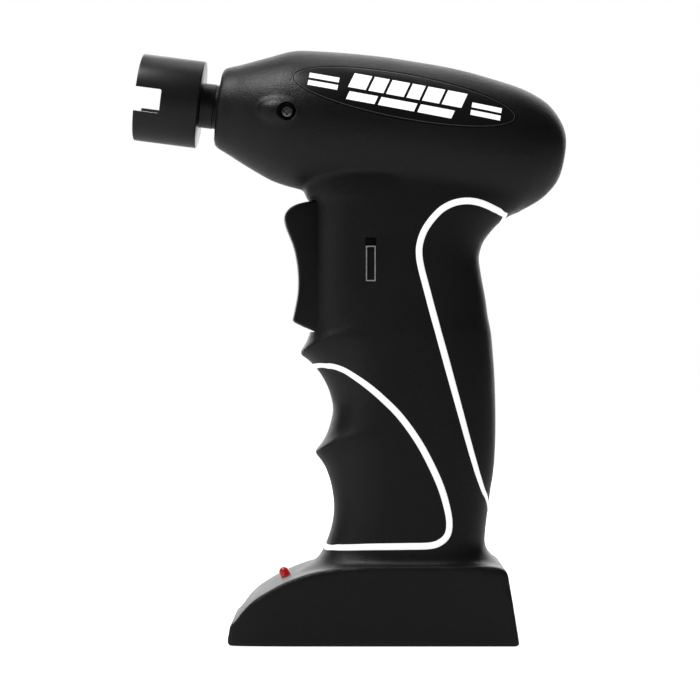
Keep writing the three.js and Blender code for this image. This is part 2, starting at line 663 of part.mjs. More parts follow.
function directionSwitch() {
  const body = solid(block([-3.9, 4.5], [-10.6, -7.9], [103, 121]));
  return body.subtract(solid(block([-2.1, 0.9], [-13, -8.7], [LEVER_REST - 1.5, LEVER_REST + 3.4])));
}

// ---------------------------------------------------------------- materials

const finish = (color, roughness, metalness = 0) =>
  new THREE.MeshStandardMaterial({ color, roughness, metalness });
const MATERIALS = {
  shell: finish(0x1d1d1f, 0.5),
  grip: finish(0x19191b, 0.7),
  piping: finish(0xf4f4f2, 0.45),
  badge: finish(0x141416, 0.35),
  socket: finish(0x202022, 0.45),
  trigger: finish(0x161618, 0.4),
  screw: finish(0x2b2b2d, 0.35, 1),
  steel: finish(0xb8b8b8, 0.3, 1),
  motor: finish(0xa8a9ab, 0.35, 1),
  bronze: finish(0xb08a4e, 0.35, 1),
  gear: finish(0xe6e2d4, 0.5),
  board: finish(0x1f6b3a, 0.5),
  cell: finish(0x3c6fa8, 0.35),
  lens: finish(0xd01818, 0.15),
  red_lead: finish(0xb01c1c, 0.5),
  black_lead: finish(0x151515, 0.5),
  plastic: finish(0x232325, 0.55),
};

// ---------------------------------------------------------------- assembly

const winder = new THREE.Group();

function put(name, shape, material, parent = winder) {
  const geometry = shape.isBufferGeometry ? shape : geometryOf(shape);
  const mesh = new THREE.Mesh(geometry, MATERIALS[material]);
  mesh.name = name;
  parent.add(mesh);
  return mesh;
}

for (const [name, shell] of Object.entries(housing())) put(name, shell, "shell");

for (const [place, { line, inward, corners }] of Object.entries(PIPING)) {
  const grip = grippedSide(line, inward * (HALF_PIPING + GAP), corners);
  const piping = band(line, HALF_PIPING);
  for (const side of ["left", "right"]) {
    const inSkin = (region) => region.intersect(outerForm).subtract(underSkin).intersect(half[side]);
    put(`${place}_grip_${side}`, inSkin(grip), "grip");
    put(`${place}_piping_${side}`, inSkin(piping), "piping");
  }
}

for (const side of ["left", "right"]) {
  const plate = badgeRegion.intersect(outerForm).subtract(barrelUnderBadge).intersect(half[side]);
  put(`badge_${side}`, plate, "badge");
}

for (const { name, x, z, seat } of PARTING_PLANE_SCREWS) {
  const fastener = screw(0, 2.5, 2, seat + 8, 1.2).rotateZ(-Math.PI / 2);
  put(name, fastener, "screw").position.set(x, seat + GAP + 2, z);
}
for (const [name, side] of [["nose_screw_left", -1], ["nose_screw_right", 1]]) {
  const fastener = screw(0, 1.9, 1.3, 7, 1.1).rotateZ((side * -Math.PI) / 2);
  put(name, fastener, "screw").position.set(NOSE_SCREW.x, side * (17 + GAP + 1.3), NOSE_SCREW.z);
}
for (const { name, y } of HATCH_SCREWS) {
  put(name, screw(0, 2.4, 0.8, 7, 1.15).rotateY(-Math.PI / 2), "screw").position.set(HATCH_SCREW_X, y, 0.2);
}

const driveLine = new THREE.Group(); // its X is the drive axis, from the nose face backwards
driveLine.position.copy(NOSE);
driveLine.rotation.y = TILT;
winder.add(driveLine);

const DRIVE_MATERIALS = {
  gearbox_cover: "plastic",
  spindle_bush: "bronze",
  ring_gear: "plastic",
  motor_plate: "steel",
  motor_can: "motor",
  motor_end_cap: "plastic",
  motor_pinion: "bronze",
  output_spindle: "steel",
  intermediate_carrier: "gear",
  spindle_clip: "steel",
};
for (const [name, shape] of Object.entries(gearbox())) put(name, shape, DRIVE_MATERIALS[name], driveLine);

for (const { name, gear } of stages) {
  for (let i = 0; i < PLANETS; i++) {
    const arm = new THREE.Group();
    arm.rotation.x = (2 * Math.PI * i) / PLANETS;
    driveLine.add(arm);
    put(`${name}_planet_${i + 1}`, planet(gear), "gear", arm).position.z = -PLANET_ORBIT;
  }
}

const head = new THREE.Group();
head.rotation.x = SOCKET_ROLL;
driveLine.add(head);
put("winder_socket", socket(), "socket", head);
put("socket_screw", screw(SOCKET_FLOOR - GAP - 2.2, 3.3, 2.2, -2.2, 1.4), "steel", head);

put("trigger", trigger(), "trigger");
put("trigger_spring", wire(new Helix(), SPRING.wire, SPRING.turns * 8, 4), "steel");
put("switch_plunger", rod(-4.9, 4.6, 1.6), "plastic").position.z = TRIGGER_AXIS_Z;
put("trigger_switch", mainSwitch(), "plastic");
put("direction_lever", directionLever(), "trigger");
put("direction_switch", directionSwitch(), "plastic");

for (const [row, x] of [["front", 4.6], ["rear", 19.4]]) {
  for (const [side, towards] of [["left", -1], ["right", 1]]) {
    const { radius, spread, bottom, top } = CELL;
    const can = turned(
      [[bottom, 0], [bottom, radius], [top - 1.6, radius], [top - 1.6, 2.7], [top, 2.7], [top, 0]], 16,
    ).rotateY(-Math.PI / 2);
    put(`battery_cell_${row}_${side}`, can, "cell").position.set(x, towards * spread, 0);
  }
}
for (const [colour, mirror] of [["red", -1], ["black", 1]]) {
  put(`motor_lead_${colour}`, lead(MOTOR_LEAD, mirror), `${colour}_lead`);
  put(`battery_lead_${colour}`, lead(BATTERY_LEAD, mirror), `${colour}_lead`);
}
put("charge_lead", lead(CHARGE_LEAD, -1), "black_lead");

put("charge_board", chargeBoard(), "board");
const lamp = put("charge_indicator", indicator(), "lens");
lamp.position.set(LED.x, 0, LED.z);
lamp.rotation.y = LED.lean;
put("charge_jack", jack(), "plastic");
put("battery_hatch", hatch(), "shell");

export default winder;
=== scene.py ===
# %% [markdown]
# # A cordless string winder
# A pistol-shaped tool turns a guitar's tuning keys with a slotted socket. Its black housing is moulded in
# two halves that meet down the middle. White piping frames two grip inserts, a trigger runs the motor, and a
# small slider beside it chooses the direction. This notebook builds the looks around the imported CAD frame.
#
# All shapes are worked out in millimetres, in the frame's own axes, and shrunk to metres at delivery.

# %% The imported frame
import json
import math

import bmesh
import bpy
from mathutils import Matrix, Vector
from mathutils.bvhtree import BVHTree
from mathutils.geometry import interpolate_bezier

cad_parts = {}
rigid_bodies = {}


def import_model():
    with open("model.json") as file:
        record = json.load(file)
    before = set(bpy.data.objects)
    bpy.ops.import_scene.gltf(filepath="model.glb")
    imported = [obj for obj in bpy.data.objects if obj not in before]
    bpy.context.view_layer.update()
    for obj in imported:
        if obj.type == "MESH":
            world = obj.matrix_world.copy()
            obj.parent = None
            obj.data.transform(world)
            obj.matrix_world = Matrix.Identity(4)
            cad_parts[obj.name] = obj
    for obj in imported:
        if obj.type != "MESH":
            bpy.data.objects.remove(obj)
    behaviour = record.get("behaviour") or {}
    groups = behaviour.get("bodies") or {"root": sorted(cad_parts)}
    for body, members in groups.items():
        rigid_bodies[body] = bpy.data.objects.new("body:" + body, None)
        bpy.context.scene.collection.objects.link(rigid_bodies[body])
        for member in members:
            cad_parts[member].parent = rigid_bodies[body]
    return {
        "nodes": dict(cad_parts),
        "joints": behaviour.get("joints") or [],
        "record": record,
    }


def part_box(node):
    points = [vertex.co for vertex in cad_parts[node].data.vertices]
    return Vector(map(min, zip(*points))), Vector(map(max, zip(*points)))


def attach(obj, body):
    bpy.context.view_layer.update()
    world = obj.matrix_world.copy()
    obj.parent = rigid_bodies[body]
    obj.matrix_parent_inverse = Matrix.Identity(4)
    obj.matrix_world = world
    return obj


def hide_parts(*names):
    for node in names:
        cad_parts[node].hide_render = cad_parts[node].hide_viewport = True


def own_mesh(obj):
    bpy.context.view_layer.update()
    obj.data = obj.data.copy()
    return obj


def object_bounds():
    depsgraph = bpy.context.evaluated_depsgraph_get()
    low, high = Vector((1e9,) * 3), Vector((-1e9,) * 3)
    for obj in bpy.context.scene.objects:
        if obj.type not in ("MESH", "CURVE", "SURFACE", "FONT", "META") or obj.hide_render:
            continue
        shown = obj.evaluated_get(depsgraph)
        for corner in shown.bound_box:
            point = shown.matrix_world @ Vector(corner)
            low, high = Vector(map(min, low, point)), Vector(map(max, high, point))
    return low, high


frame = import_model()
cad_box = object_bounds()
joints = {joint["name"]: joint for joint in frame["joints"]}
MM = 0.001

# %% [markdown]
# ## Camera, light and floor
# The tool is seen square from its left side, from about the distance of an outstretched arm. A soft panel up
# and to the left gives the broad sheen along the nose, and one overhead draws a faint band along the barrel.
# A big panel behind gives black plastic its pale rim. The surroundings and the floor look white, but light
# the tool only a little, or black would turn grey. Both look up whether the camera sees them directly.

# %% Camera
CAMERA_PLACE = Vector((-6.8, -650, 85.7)) * MM
camera_data = bpy.data.cameras.new("side_camera")
camera_data.lens = 112
camera_data.sensor_width = 36
camera_data.clip_start = 0.01
camera = bpy.data.objects.new("side_camera", camera_data)
camera.location = CAMERA_PLACE
camera.rotation_euler = (math.pi / 2, 0, 0)
bpy.context.collection.objects.link(camera)
bpy.context.scene.camera = camera
bpy.context.scene.view_settings.view_transform = "Standard"
print("camera", [round(value, 3) for value in camera.location])


# %% Lights
def soft_light(name, place, aim, size, power):
    """A square area light that faces a point of the object."""
    data = bpy.data.lights.new(name, "AREA")
    data.size = size
    data.energy = power
    lamp = bpy.data.objects.new(name, data)
    lamp.location = place
    lamp.rotation_euler = (Vector(aim) - Vector(place)).to_track_quat("-Z", "Y").to_euler()
    bpy.context.collection.objects.link(lamp)
    return lamp


soft_light("key_panel", (-0.4, -0.24, 0.88), (-0.03, 0, 0.16), 0.3, 4.3)
soft_light("top_panel", (0.05, 0.3, 0.95), (0, 0, 0.14), 0.4, 0.95)
soft_light("side_panel", (-0.75, -0.3, 0.12), (0, 0, 0.06), 0.5, 0.35)
soft_light("back_panel", (0, 0.9, 0.3), (0, 0, 0.09), 1.3, 12).visible_camera = False

world = bpy.data.worlds.new("white_surroundings")
world.use_nodes = True
sky = world.node_tree.nodes["Background"]
sky.inputs["Color"].default_value = (1, 1, 1, 1)
seen_directly = world.node_tree.nodes.new("ShaderNodeLightPath").outputs["Is Camera Ray"]
brightness = world.node_tree.nodes.new("ShaderNodeMapRange")
brightness.inputs["To Min"].default_value = 0.055
brightness.inputs["To Max"].default_value = 1.0
world.node_tree.links.new(seen_directly, brightness.inputs["Value"])
world.node_tree.links.new(brightness.outputs["Result"], sky.inputs["Strength"])
bpy.context.scene.world = world
print("four soft lights and white surroundings")

# %% Floor
floor_bm = bmesh.new()
bmesh.ops.create_grid(floor_bm, x_segments=1, y_segments=1, size=4)
floor_mesh = bpy.data.meshes.new("floor")
floor_bm.to_mesh(floor_mesh)
floor_bm.free()
floor = bpy.data.objects.new("floor", floor_mesh)
bpy.context.collection.objects.link(floor)
floor.location.z = cad_box[0][2] - 0.0002
floor_paint = bpy.data.materials.new("pale_floor")
floor_paint.use_nodes = True
floor_shader = floor_paint.node_tree.nodes["Principled BSDF"]
floor_shader.inputs["Base Color"].default_value = (0.5, 0.5, 0.5, 1)
floor_shader.inputs["Roughness"].default_value = 0.9
floor_shader.inputs["Emission Color"].default_value = (1, 1, 1, 1)
floor_tree = floor_paint.node_tree
floor_glow = floor_tree.nodes.new("ShaderNodeMapRange")
floor_glow.inputs["To Min"].default_value = 0.1
floor_glow.inputs["To Max"].default_value = 1.0
floor_seen = floor_tree.nodes.new("ShaderNodeLightPath").outputs["Is Camera Ray"]
floor_tree.links.new(floor_seen, floor_glow.inputs["Value"])
floor_tree.links.new(floor_glow.outputs["Result"], floor_shader.inputs["Emission Strength"])
floor_mesh.materials.append(floor_paint)
print("floor at", round(floor.location.z, 5))

# %% [markdown]
# ## Shared effects
# Three effects come back in most of the materials, so each is a node group built once. Moulded grain is the
# fine texture that a spark-eroded mould leaves. Handling polish is the uneven sheen where fingers rub.
# Settled dust is the faint pale bloom on faces that look up.


# %% A small kit for node trees
class Nodes:
    """Adds nodes to a tree and links them by socket name."""

    def __init__(self, tree):
        self.tree = tree

    def add(self, kind, settings=None, **inputs):
        """A new node with its settings, and its inputs given by socket name."""
        node = self.tree.nodes.new(kind)
        for key, value in (settings or {}).items():
            setattr(node, key, value)
        for key, value in inputs.items():
            self.feed(node, key.replace("_", " "), value)
        return node

    def feed(self, node, socket, value):
        """Links an output to a socket, or sets the socket's plain value."""
        socket = int(socket) if socket.isdigit() else socket
        if isinstance(value, bpy.types.NodeSocket):
            self.tree.links.new(value, node.inputs[socket])
        else:
            node.inputs[socket].default_value = value

    def math(self, operation, first, second=0.5, clamp=False):
        """One step of arithmetic on two values."""
        node = self.add("ShaderNodeMath", {"operation": operation, "use_clamp": clamp})
        self.feed(node, "0", first)
        self.feed(node, "1", second)
        return node.outputs[0]

    def remap(self, value, low, high, to_low=0.0, to_high=1.0):
        """A value moved from one range to another, and held inside it."""
        node = self.add("ShaderNodeMapRange", {"clamp": True})
        for socket, number in enumerate((value, low, high, to_low, to_high)):
            self.feed(node, str(socket), number)
        return node.outputs[0]


def new_group(name, inputs, outputs):
    """An empty shader node group with named float sockets, and its kit."""
    tree = bpy.data.node_groups.new(name, "ShaderNodeTree")
    for socket, value in inputs.items():
        made = tree.interface.new_socket(socket, in_out="INPUT", socket_type="NodeSocketFloat")
        made.default_value = value
    for socket in outputs:
        tree.interface.new_socket(socket, in_out="OUTPUT", socket_type="NodeSocketFloat")
    kit = Nodes(tree)
    return tree, kit, kit.add("NodeGroupInput"), kit.add("NodeGroupOutput")


# %% Moulded grain
grain_group, kit, given, result = new_group("moulded_grain", {"Scale": 2600.0}, ["Height", "Speck"])
place = kit.add("ShaderNodeTexCoord").outputs["Object"]
pits = kit.add("ShaderNodeTexNoise", Vector=place, Scale=given.outputs["Scale"], Detail=2.0, Roughness=0.6)
coarse_scale = kit.math("MULTIPLY", given.outputs["Scale"], 0.28)
swell = kit.add("ShaderNodeTexNoise", Vector=place, Scale=coarse_scale, Detail=1.0)
height = kit.math("ADD", pits.outputs["Fac"], kit.math("MULTIPLY", swell.outputs["Fac"], 0.5))
kit.feed(result, "Height", height)
kit.feed(result, "Speck", kit.remap(pits.outputs["Fac"], 0.35, 0.7))
print("group", grain_group.name)

# %% Handling polish
polish_group, kit, given, result = new_group("handling_polish", {"Scale": 30.0}, ["Smudge", "Rub"])
place = kit.add("ShaderNodeTexCoord").outputs["Object"]
patch_scale = given.outputs["Scale"]
patches = kit.add("ShaderNodeTexNoise", Vector=place, Scale=patch_scale, Detail=3.0, Distortion=0.6)
kit.feed(result, "Smudge", kit.remap(patches.outputs["Fac"], 0.35, 0.7))
convex = kit.remap(kit.add("ShaderNodeNewGeometry").outputs["Pointiness"], 0.52, 0.62)
ragged = kit.add("ShaderNodeTexNoise", Vector=place, Scale=900.0, Detail=4.0)
kit.feed(result, "Rub", kit.math("MULTIPLY", convex, kit.remap(ragged.outputs["Fac"], 0.4, 0.65)))
print("group", polish_group.name)

# %% Settled dust
dust_group, kit, given, result = new_group("settled_dust", {"Scale": 260.0}, ["Mask"])
coordinates = kit.add("ShaderNodeTexCoord")
place = coordinates.outputs["Object"]
upwards = kit.add("ShaderNodeSeparateXYZ", Vector=coordinates.outputs["Normal"]).outputs["Z"]
motes = kit.add("ShaderNodeTexNoise", Vector=place, Scale=given.outputs["Scale"], Detail=5.0)
lying = kit.math("MULTIPLY", kit.remap(upwards, 0.3, 1.0), kit.remap(motes.outputs["Fac"], 0.48, 0.7))
kit.feed(result, "Mask", lying)
print("group", dust_group.name)


# %% [markdown]
# ## Finishes
# Every finish is a Principled shader whose colour, roughness and bump come from the shared groups. A table of
# plain values per finish keeps the differences easy to compare: how dark, how rough, how deep the grain.


# %% One recipe for every finish
def mix_colour(kit, factor, first, second):
    """A colour between two, by factor. The numbers are the sockets that a colour mix uses."""
    node = kit.add("ShaderNodeMix", {"data_type": "RGBA"})
    kit.feed(node, "0", factor)
    kit.feed(node, "6", first)
    kit.feed(node, "7", second)
    return node.outputs[2]


DUST_COLOUR = (0.42, 0.41, 0.39, 1)
GRAIN_DEPTH = 0.14 * MM


def finish(
    name, colour, roughness, metallic=0.0, grain=0.3, grain_scale=2600.0, rubbed=None, dust=0.05, coat=0.0
):
    """A surface with grain, uneven polish, paler rubbed edges and a little dust."""
    material = bpy.data.materials.new(name)
    material.use_nodes = True
    kit = Nodes(material.node_tree)
    shader = material.node_tree.nodes["Principled BSDF"]
    shader.inputs["Metallic"].default_value = metallic
    shader.inputs["Coat Weight"].default_value = coat
    shader.inputs["Coat Roughness"].default_value = 0.12
    texture = kit.add("ShaderNodeGroup", {"node_tree": grain_group}, Scale=grain_scale)
    polish = kit.add("ShaderNodeGroup", {"node_tree": polish_group})
    dusty = kit.add("ShaderNodeGroup", {"node_tree": dust_group})
    base = (*colour, 1)
    speckled = mix_colour(kit, texture.outputs["Speck"], tuple(0.82 * c for c in colour) + (1,), base)
    worn_colour = rubbed or tuple(min(1, 1.6 * c + 0.01) for c in colour)
    wear = kit.math("MULTIPLY", polish.outputs["Rub"], 0.5)
    worn = mix_colour(kit, wear, speckled, (*worn_colour, 1))
    bloom = kit.math("MULTIPLY", dusty.outputs["Mask"], dust)
    kit.feed(shader, "Base Color", mix_colour(kit, bloom, worn, DUST_COLOUR))
    sheen = kit.remap(polish.outputs["Smudge"], 0.0, 1.0, roughness + 0.05, roughness - 0.05)
    kit.feed(shader, "Roughness", kit.math("ADD", sheen, kit.math("MULTIPLY", bloom, 0.6), clamp=True))
    bump = kit.add("ShaderNodeBump", Strength=grain, Distance=GRAIN_DEPTH, Height=texture.outputs["Height"])
    kit.feed(shader, "Normal", bump.outputs["Normal"])
    return material


FINISHES = {
    "shell": finish(
        "charcoal_housing", (0.0065, 0.0065, 0.0069), 0.42, grain=0.75, grain_scale=2300, dust=0.015
    ),
    "grip": finish("soft_black_grip", (0.006, 0.006, 0.0065), 0.5, grain=0.35, grain_scale=3400, dust=0.03),
    "piping": finish(
        "white_piping_painted_glow", (0.95, 0.95, 0.945), 0.45, grain=0.04, rubbed=(0.95, 0.95, 0.94), dust=0.0
    ),
    "badge": finish("black_badge", (0.006, 0.006, 0.0065), 0.34, grain=0.06, dust=0.03),
    "socket": finish(
        "dark_socket", (0.012, 0.012, 0.013), 0.38, grain=0.12, grain_scale=3000, rubbed=(0.03, 0.03, 0.031)
    ),
    "trigger": finish("satin_trigger", (0.0075, 0.0075, 0.008), 0.36, grain=0.16, grain_scale=3000),
    "screw": finish("blackened_screw", (0.5, 0.5, 0.505), 0.34, 1.0, grain=0.12, rubbed=(0.7, 0.7, 0.71)),
    "steel": finish("machined_steel", (0.5, 0.5, 0.5), 0.28, 1.0, grain=0.1),
    "motor": finish("rolled_can", (0.42, 0.42, 0.43), 0.35, 1.0, grain=0.15),
    "bronze": finish("sintered_bronze", (0.42, 0.27, 0.11), 0.42, 1.0, grain=0.3),
    "gear": finish("natural_acetal", (0.74, 0.71, 0.63), 0.42, grain=0.1),
    "board": finish("lacquered_board", (0.02, 0.14, 0.05), 0.3, grain=0.1, coat=0.4),
    "cell": finish("cell_sleeve", (0.03, 0.11, 0.3), 0.3, grain=0.05, coat=0.5),
    "lens": finish(
        "red_lens_painted_glow", (0.6, 0.015, 0.018), 0.12, grain=0.02, rubbed=(0.8, 0.1, 0.1), dust=0.0, coat=0.8
    ),
    "red_lead": finish("red_insulation", (0.42, 0.012, 0.012), 0.45, grain=0.1),
    "black_lead": finish("black_insulation", (0.012, 0.012, 0.012), 0.45, grain=0.1),
    "plastic": finish("inner_plastic", (0.016, 0.016, 0.018), 0.5, grain=0.25),
}
# Painted glow: the white piping, and the badge prints that share its finish, give off a little light of their
# own so they read as flat pure white without shading. They are no lamps.
piping_shader = FINISHES["piping"].node_tree.nodes["Principled BSDF"]
piping_shader.inputs["Emission Color"].default_value = (1, 1, 1, 1)
piping_shader.inputs["Emission Strength"].default_value = 0.8
# Painted glow: the charging lamp is not lit, but its dome gives off a faint red light so that it looks
# brighter.
lens_shader = FINISHES["lens"].node_tree.nodes["Principled BSDF"]
lens_shader.inputs["Emission Color"].default_value = (0.9, 0.01, 0.01, 1)
lens_shader.inputs["Emission Strength"].default_value = 0.22
node_slots = {part["node"]: part["material_slot"] for part in frame["record"]["subparts"]}
for node_name, cad_object in frame["nodes"].items():
    cad_object.data.materials.clear()
    cad_object.data.materials.append(FINISHES[node_slots[node_name]])
print(len(FINISHES), "finishes")

# %% [markdown]
# ## A workshop for solids
# The housing's parts meet each other along cut edges, so most pieces are made by joining and cutting solids.
# Blender's manifold solver does that quickly on dense meshes as long as every solid is closed. Solids stay
# in a workshop collection, in millimetres, until one is delivered as a finished piece.

# %% Solids: make, combine, deliver
workshop = bpy.data.collections.new("workshop")
bpy.context.scene.collection.children.link(workshop)


def as_solid(bm, name="solid"):
    """Turns a bmesh into a workshop object with its faces pointing outwards."""
    bmesh.ops.remove_doubles(bm, verts=bm.verts, dist=1e-4)
    bmesh.ops.recalc_face_normals(bm, faces=bm.faces)
    mesh = bpy.data.meshes.new(name)
    bm.to_mesh(mesh)
    bm.free()
    made = bpy.data.objects.new(name, mesh)
    workshop.objects.link(made)
    return made


def copy_of(solid):
    """A second solid of the same shape, for a cut that must not spoil the first."""
    made = solid.copy()
    made.data = solid.data.copy()
    workshop.objects.link(made)
    return made


def apply_modifiers(solid):
    """Turns what the modifiers show into the solid's own mesh."""
    evaluated = solid.evaluated_get(bpy.context.evaluated_depsgraph_get())
    baked = bpy.data.meshes.new_from_object(evaluated)
    solid.modifiers.clear()
    solid.data = baked
    return solid


def combine(solid, operation, *tools, keep=False):
    """Cuts, joins or trims a solid with others. The tools are thrown away unless they are kept."""
    for tool in tools:
        step = solid.modifiers.new(operation, "BOOLEAN")
        step.operation = operation
        step.solver = "MANIFOLD"
        step.object = tool
    bpy.context.view_layer.update()
    apply_modifiers(solid)
    if not keep:
        for tool in tools:
            bpy.data.objects.remove(tool)
    return solid


def deliver(solid, name, body, slot, replaces, sharp=32):
    """A finished piece: metres, smooth shading with crisp edges, its finish, its body, what it stands for."""
    solid.name = name
    solid.data.name = name
    solid.data.transform(Matrix.Scale(MM, 4))
    solid.data.shade_smooth()
    solid.data.set_sharp_from_angle(angle=math.radians(sharp))
    solid.data.materials.clear()
    solid.data.materials.append(FINISHES[slot])
    workshop.objects.unlink(solid)
    bpy.context.collection.objects.link(solid)
    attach(solid, body)
    if replaces:
        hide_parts(*replaces)
    print(name, len(solid.data.vertices), "vertices")
    return solid


# %% Measuring and edge helpers
def middle_of(node):
    """The middle of a CAD piece, in millimetres."""
    low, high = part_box(node)
    return (low + high) / 2 / MM


def corners_of(node):
    """The lowest and the highest corner of a CAD piece, in millimetres."""
    return [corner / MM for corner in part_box(node)]


def edges_along(bm, axis, least=0.5):
    """The edges that run along an axis (0, 1 or 2) by more than a least length."""
    return [edge for edge in bm.edges if abs(edge.verts[0].co[axis] - edge.verts[1].co[axis]) > least]


def ease_edges(bm, edges, offset, segments, clamp=False):
    """Rounds edges over with a small bevel."""
    bmesh.ops.bevel(
        bm, geom=edges, offset=offset, segments=segments, profile=0.5, affect="EDGES", material=-1,
        clamp_overlap=clamp,
    )


# %% Basic closed shapes
def tube_grid(around, along):
    """A closed upright tube of unit radius from Z = 0 to 1, cut into a grid, for reshaping point by point."""
    bm = bmesh.new()
    bmesh.ops.create_cone(bm, cap_ends=True, segments=around, radius1=1, radius2=1, depth=1)
    bmesh.ops.subdivide_edges(bm, edges=edges_along(bm, 2), cuts=along - 1)
    bmesh.ops.translate(bm, verts=bm.verts, vec=(0, 0, 0.5))
    return bm


def cylinder(start, end, radius, end_radius=None, segments=48):
    """A closed cylinder or cone between two points."""
    start, end = Vector(start), Vector(end)
    bm = bmesh.new()
    turn = (end - start).to_track_quat("Z", "Y").to_matrix().to_4x4()
    bmesh.ops.create_cone(
        bm,
        cap_ends=True,
        segments=segments,
        radius1=radius,
        radius2=radius if end_radius is None else end_radius,
        depth=(end - start).length,
        matrix=Matrix.Translation((start + end) / 2) @ turn,
    )
    return as_solid(bm)


def block(low, high):
    """A box between its lowest and its highest corner."""
    low, high = Vector(low), Vector(high)
    stretch = Matrix.Diagonal((*(high - low), 1))
    bm = bmesh.new()
    bmesh.ops.create_cube(bm, size=1, matrix=Matrix.Translation((low + high) / 2) @ stretch)
    return as_solid(bm)


def run_across(outline, near, far):
    """A bmesh of an outline drawn in X and Z, run across the tool from one Y to another."""
    bm = bmesh.new()
    face = bm.faces.new([bm.verts.new((x, near, z)) for x, z in outline])
    grown = bmesh.ops.extrude_face_region(bm, geom=[face])["geom"]
    moved = [part for part in grown if isinstance(part, bmesh.types.BMVert)]
    bmesh.ops.translate(bm, verts=moved, vec=(0, far - near, 0))
    return bm


def side_prism(outline, near=-40, far=40):
    """The same as a solid, as wide as the whole tool unless a side is given."""
    return as_solid(run_across(outline, near, far))


def turned(profile, matrix=Matrix.Identity(4), steps=96):
    """A round solid about X from points (along, radius), the first and last of them on the axis."""
    bm = bmesh.new()
    corners = [bm.verts.new((along, 0, radius)) for along, radius in profile]
    edges = [bm.edges.new(pair) for pair in zip(corners, corners[1:])]
    bmesh.ops.spin(
        bm, geom=corners + edges, cent=(0, 0, 0), axis=(1, 0, 0), angle=2 * math.pi, steps=steps,
        use_merge=True,
    )
    bmesh.ops.transform(bm, matrix=matrix, verts=bm.verts)
    return as_solid(bm)


def rounded(profile, radius=0.4, steps=3):
    """The same profile with every inner corner cut by a small arc."""
    points = [Vector(point) for point in profile]
    smooth = [points[0]]
    for before, corner, after in zip(points, points[1:], points[2:]):
        reach = min(radius, (before - corner).length / 2.2, (after - corner).length / 2.2)
        start = corner + (before - corner).normalized() * reach
        end = corner + (after - corner).normalized() * reach
        smooth += interpolate_bezier(start, start.lerp(corner, 0.6), end.lerp(corner, 0.6), end, steps + 1)
    return smooth + [points[-1]]


def through(pairs):
    """A smooth line through (place, value) pairs, level beyond both ends."""

    def slope(i):
        before, after = pairs[max(i - 1, 0)], pairs[min(i + 1, len(pairs) - 1)]
        return (after[1] - before[1]) / (after[0] - before[0])

    def value(place):
        if place <= pairs[0][0]:
            return pairs[0][1]
        if place >= pairs[-1][0]:
            return pairs[-1][1]
        i = max(k for k, pair in enumerate(pairs) if pair[0] <= place)
        (start, low), (end, high) = pairs[i], pairs[i + 1]
        span = end - start
        t = (place - start) / span
        rise = low * (1 + 2 * t) * (1 - t) ** 2 + high * t * t * (3 - 2 * t)
        return rise + span * (slope(i) * t * (1 - t) ** 2 - slope(i + 1) * t * t * (1 - t))

    return value


print("workshop ready")

# %% [markdown]
# ## The housing's outer form
# The housing is one flowing shape: an egg-like barrel, a handle with finger hollows, and a wedge-shaped foot.
# Each is a tube or box whose grid is pulled into shape by a few smooth curves. A voxel remesh fuses the
# three, and smoothing mostly along the creases turns them into the soft fillets of a moulding. The same form
# is made again a little smaller twice, for the seat under the grips and for the hollow inside.

# %% The drive axis
nose = Vector(joints["head_spin"]["pos_m"]) / MM
drive = Vector(joints["head_spin"]["axis"]).normalized()
TILT = math.atan2(-drive.z, drive.x)
ON_AXIS = Matrix.Translation(nose) @ Matrix.Rotation(TILT, 4, "Y")
BARREL_LENGTH, NOSE_REACH = 103.6, 0.6
print("drive axis tilted by", round(math.degrees(TILT), 2), "degrees")

# %% Barrel
barrel_top = through(
    [(0, 11.3), (0.6, 11.8), (4.6, 13.2), (9, 15), (13.7, 16.95), (17.5, 18.6), (20.2, 19.5),
     (22.5, 19.9), (28, 20.35), (35, 20.8), (46, 21.1), (56.6, 20.9), (64, 20.6), (71, 20),
     (78.5, 18.9), (86, 17.6), (91, 16.2), (96, 13.9), (98.7, 11.7), (101, 9), (102.6, 6.2),
     (103.3, 3.8), (103.6, 0.4)]
)
barrel_underside = through(
    [(0, 11.3), (0.6, 11.9), (4, 13.4), (9, 15.8), (15, 18.4), (18.8, 19.8), (24.7, 20.9), (32, 21.4),
     (50, 21.5), (78, 21.4), (86, 21.2), (89.6, 20.7), (92, 19.6), (95.5, 17), (98.2, 14.8),
     (100.4, 12.2), (102.3, 9), (103.2, 5.6), (103.6, 0.4)]
)
barrel_side = through(
    [(0, 11.3), (0.6, 11.8), (4.6, 13.4), (9, 15.6), (14, 17.4), (18.8, 18.9), (28, 20.4), (50, 21),
     (70, 20.6), (80, 19.6), (88, 17.8), (94, 15.2), (98.5, 11.9), (101, 9.2), (102.6, 6.4),
     (103.3, 4), (103.6, 0.4)]
)


def barrel(inset):
    """The barrel on the drive axis, a given depth below its own surface."""
    bm = tube_grid(96, 130)
    for vert in bm.verts:
        across, up, along = vert.co.y, -vert.co.x, BARREL_LENGTH * (1 - (1 - vert.co.z) ** 1.5)
        rise = barrel_top(along) if up > 0 else barrel_underside(along)
        place = inset + along * (1 - 2 * inset / BARREL_LENGTH) - NOSE_REACH * (1 - along / BARREL_LENGTH)
        vert.co = (place, across * max(barrel_side(along) - inset, 0.2), up * max(rise - inset, 0.2))
    bmesh.ops.transform(bm, matrix=ON_AXIS, verts=bm.verts)
    return as_solid(bm, "barrel")


print("barrel", len(barrel(0).data.vertices), "vertices")

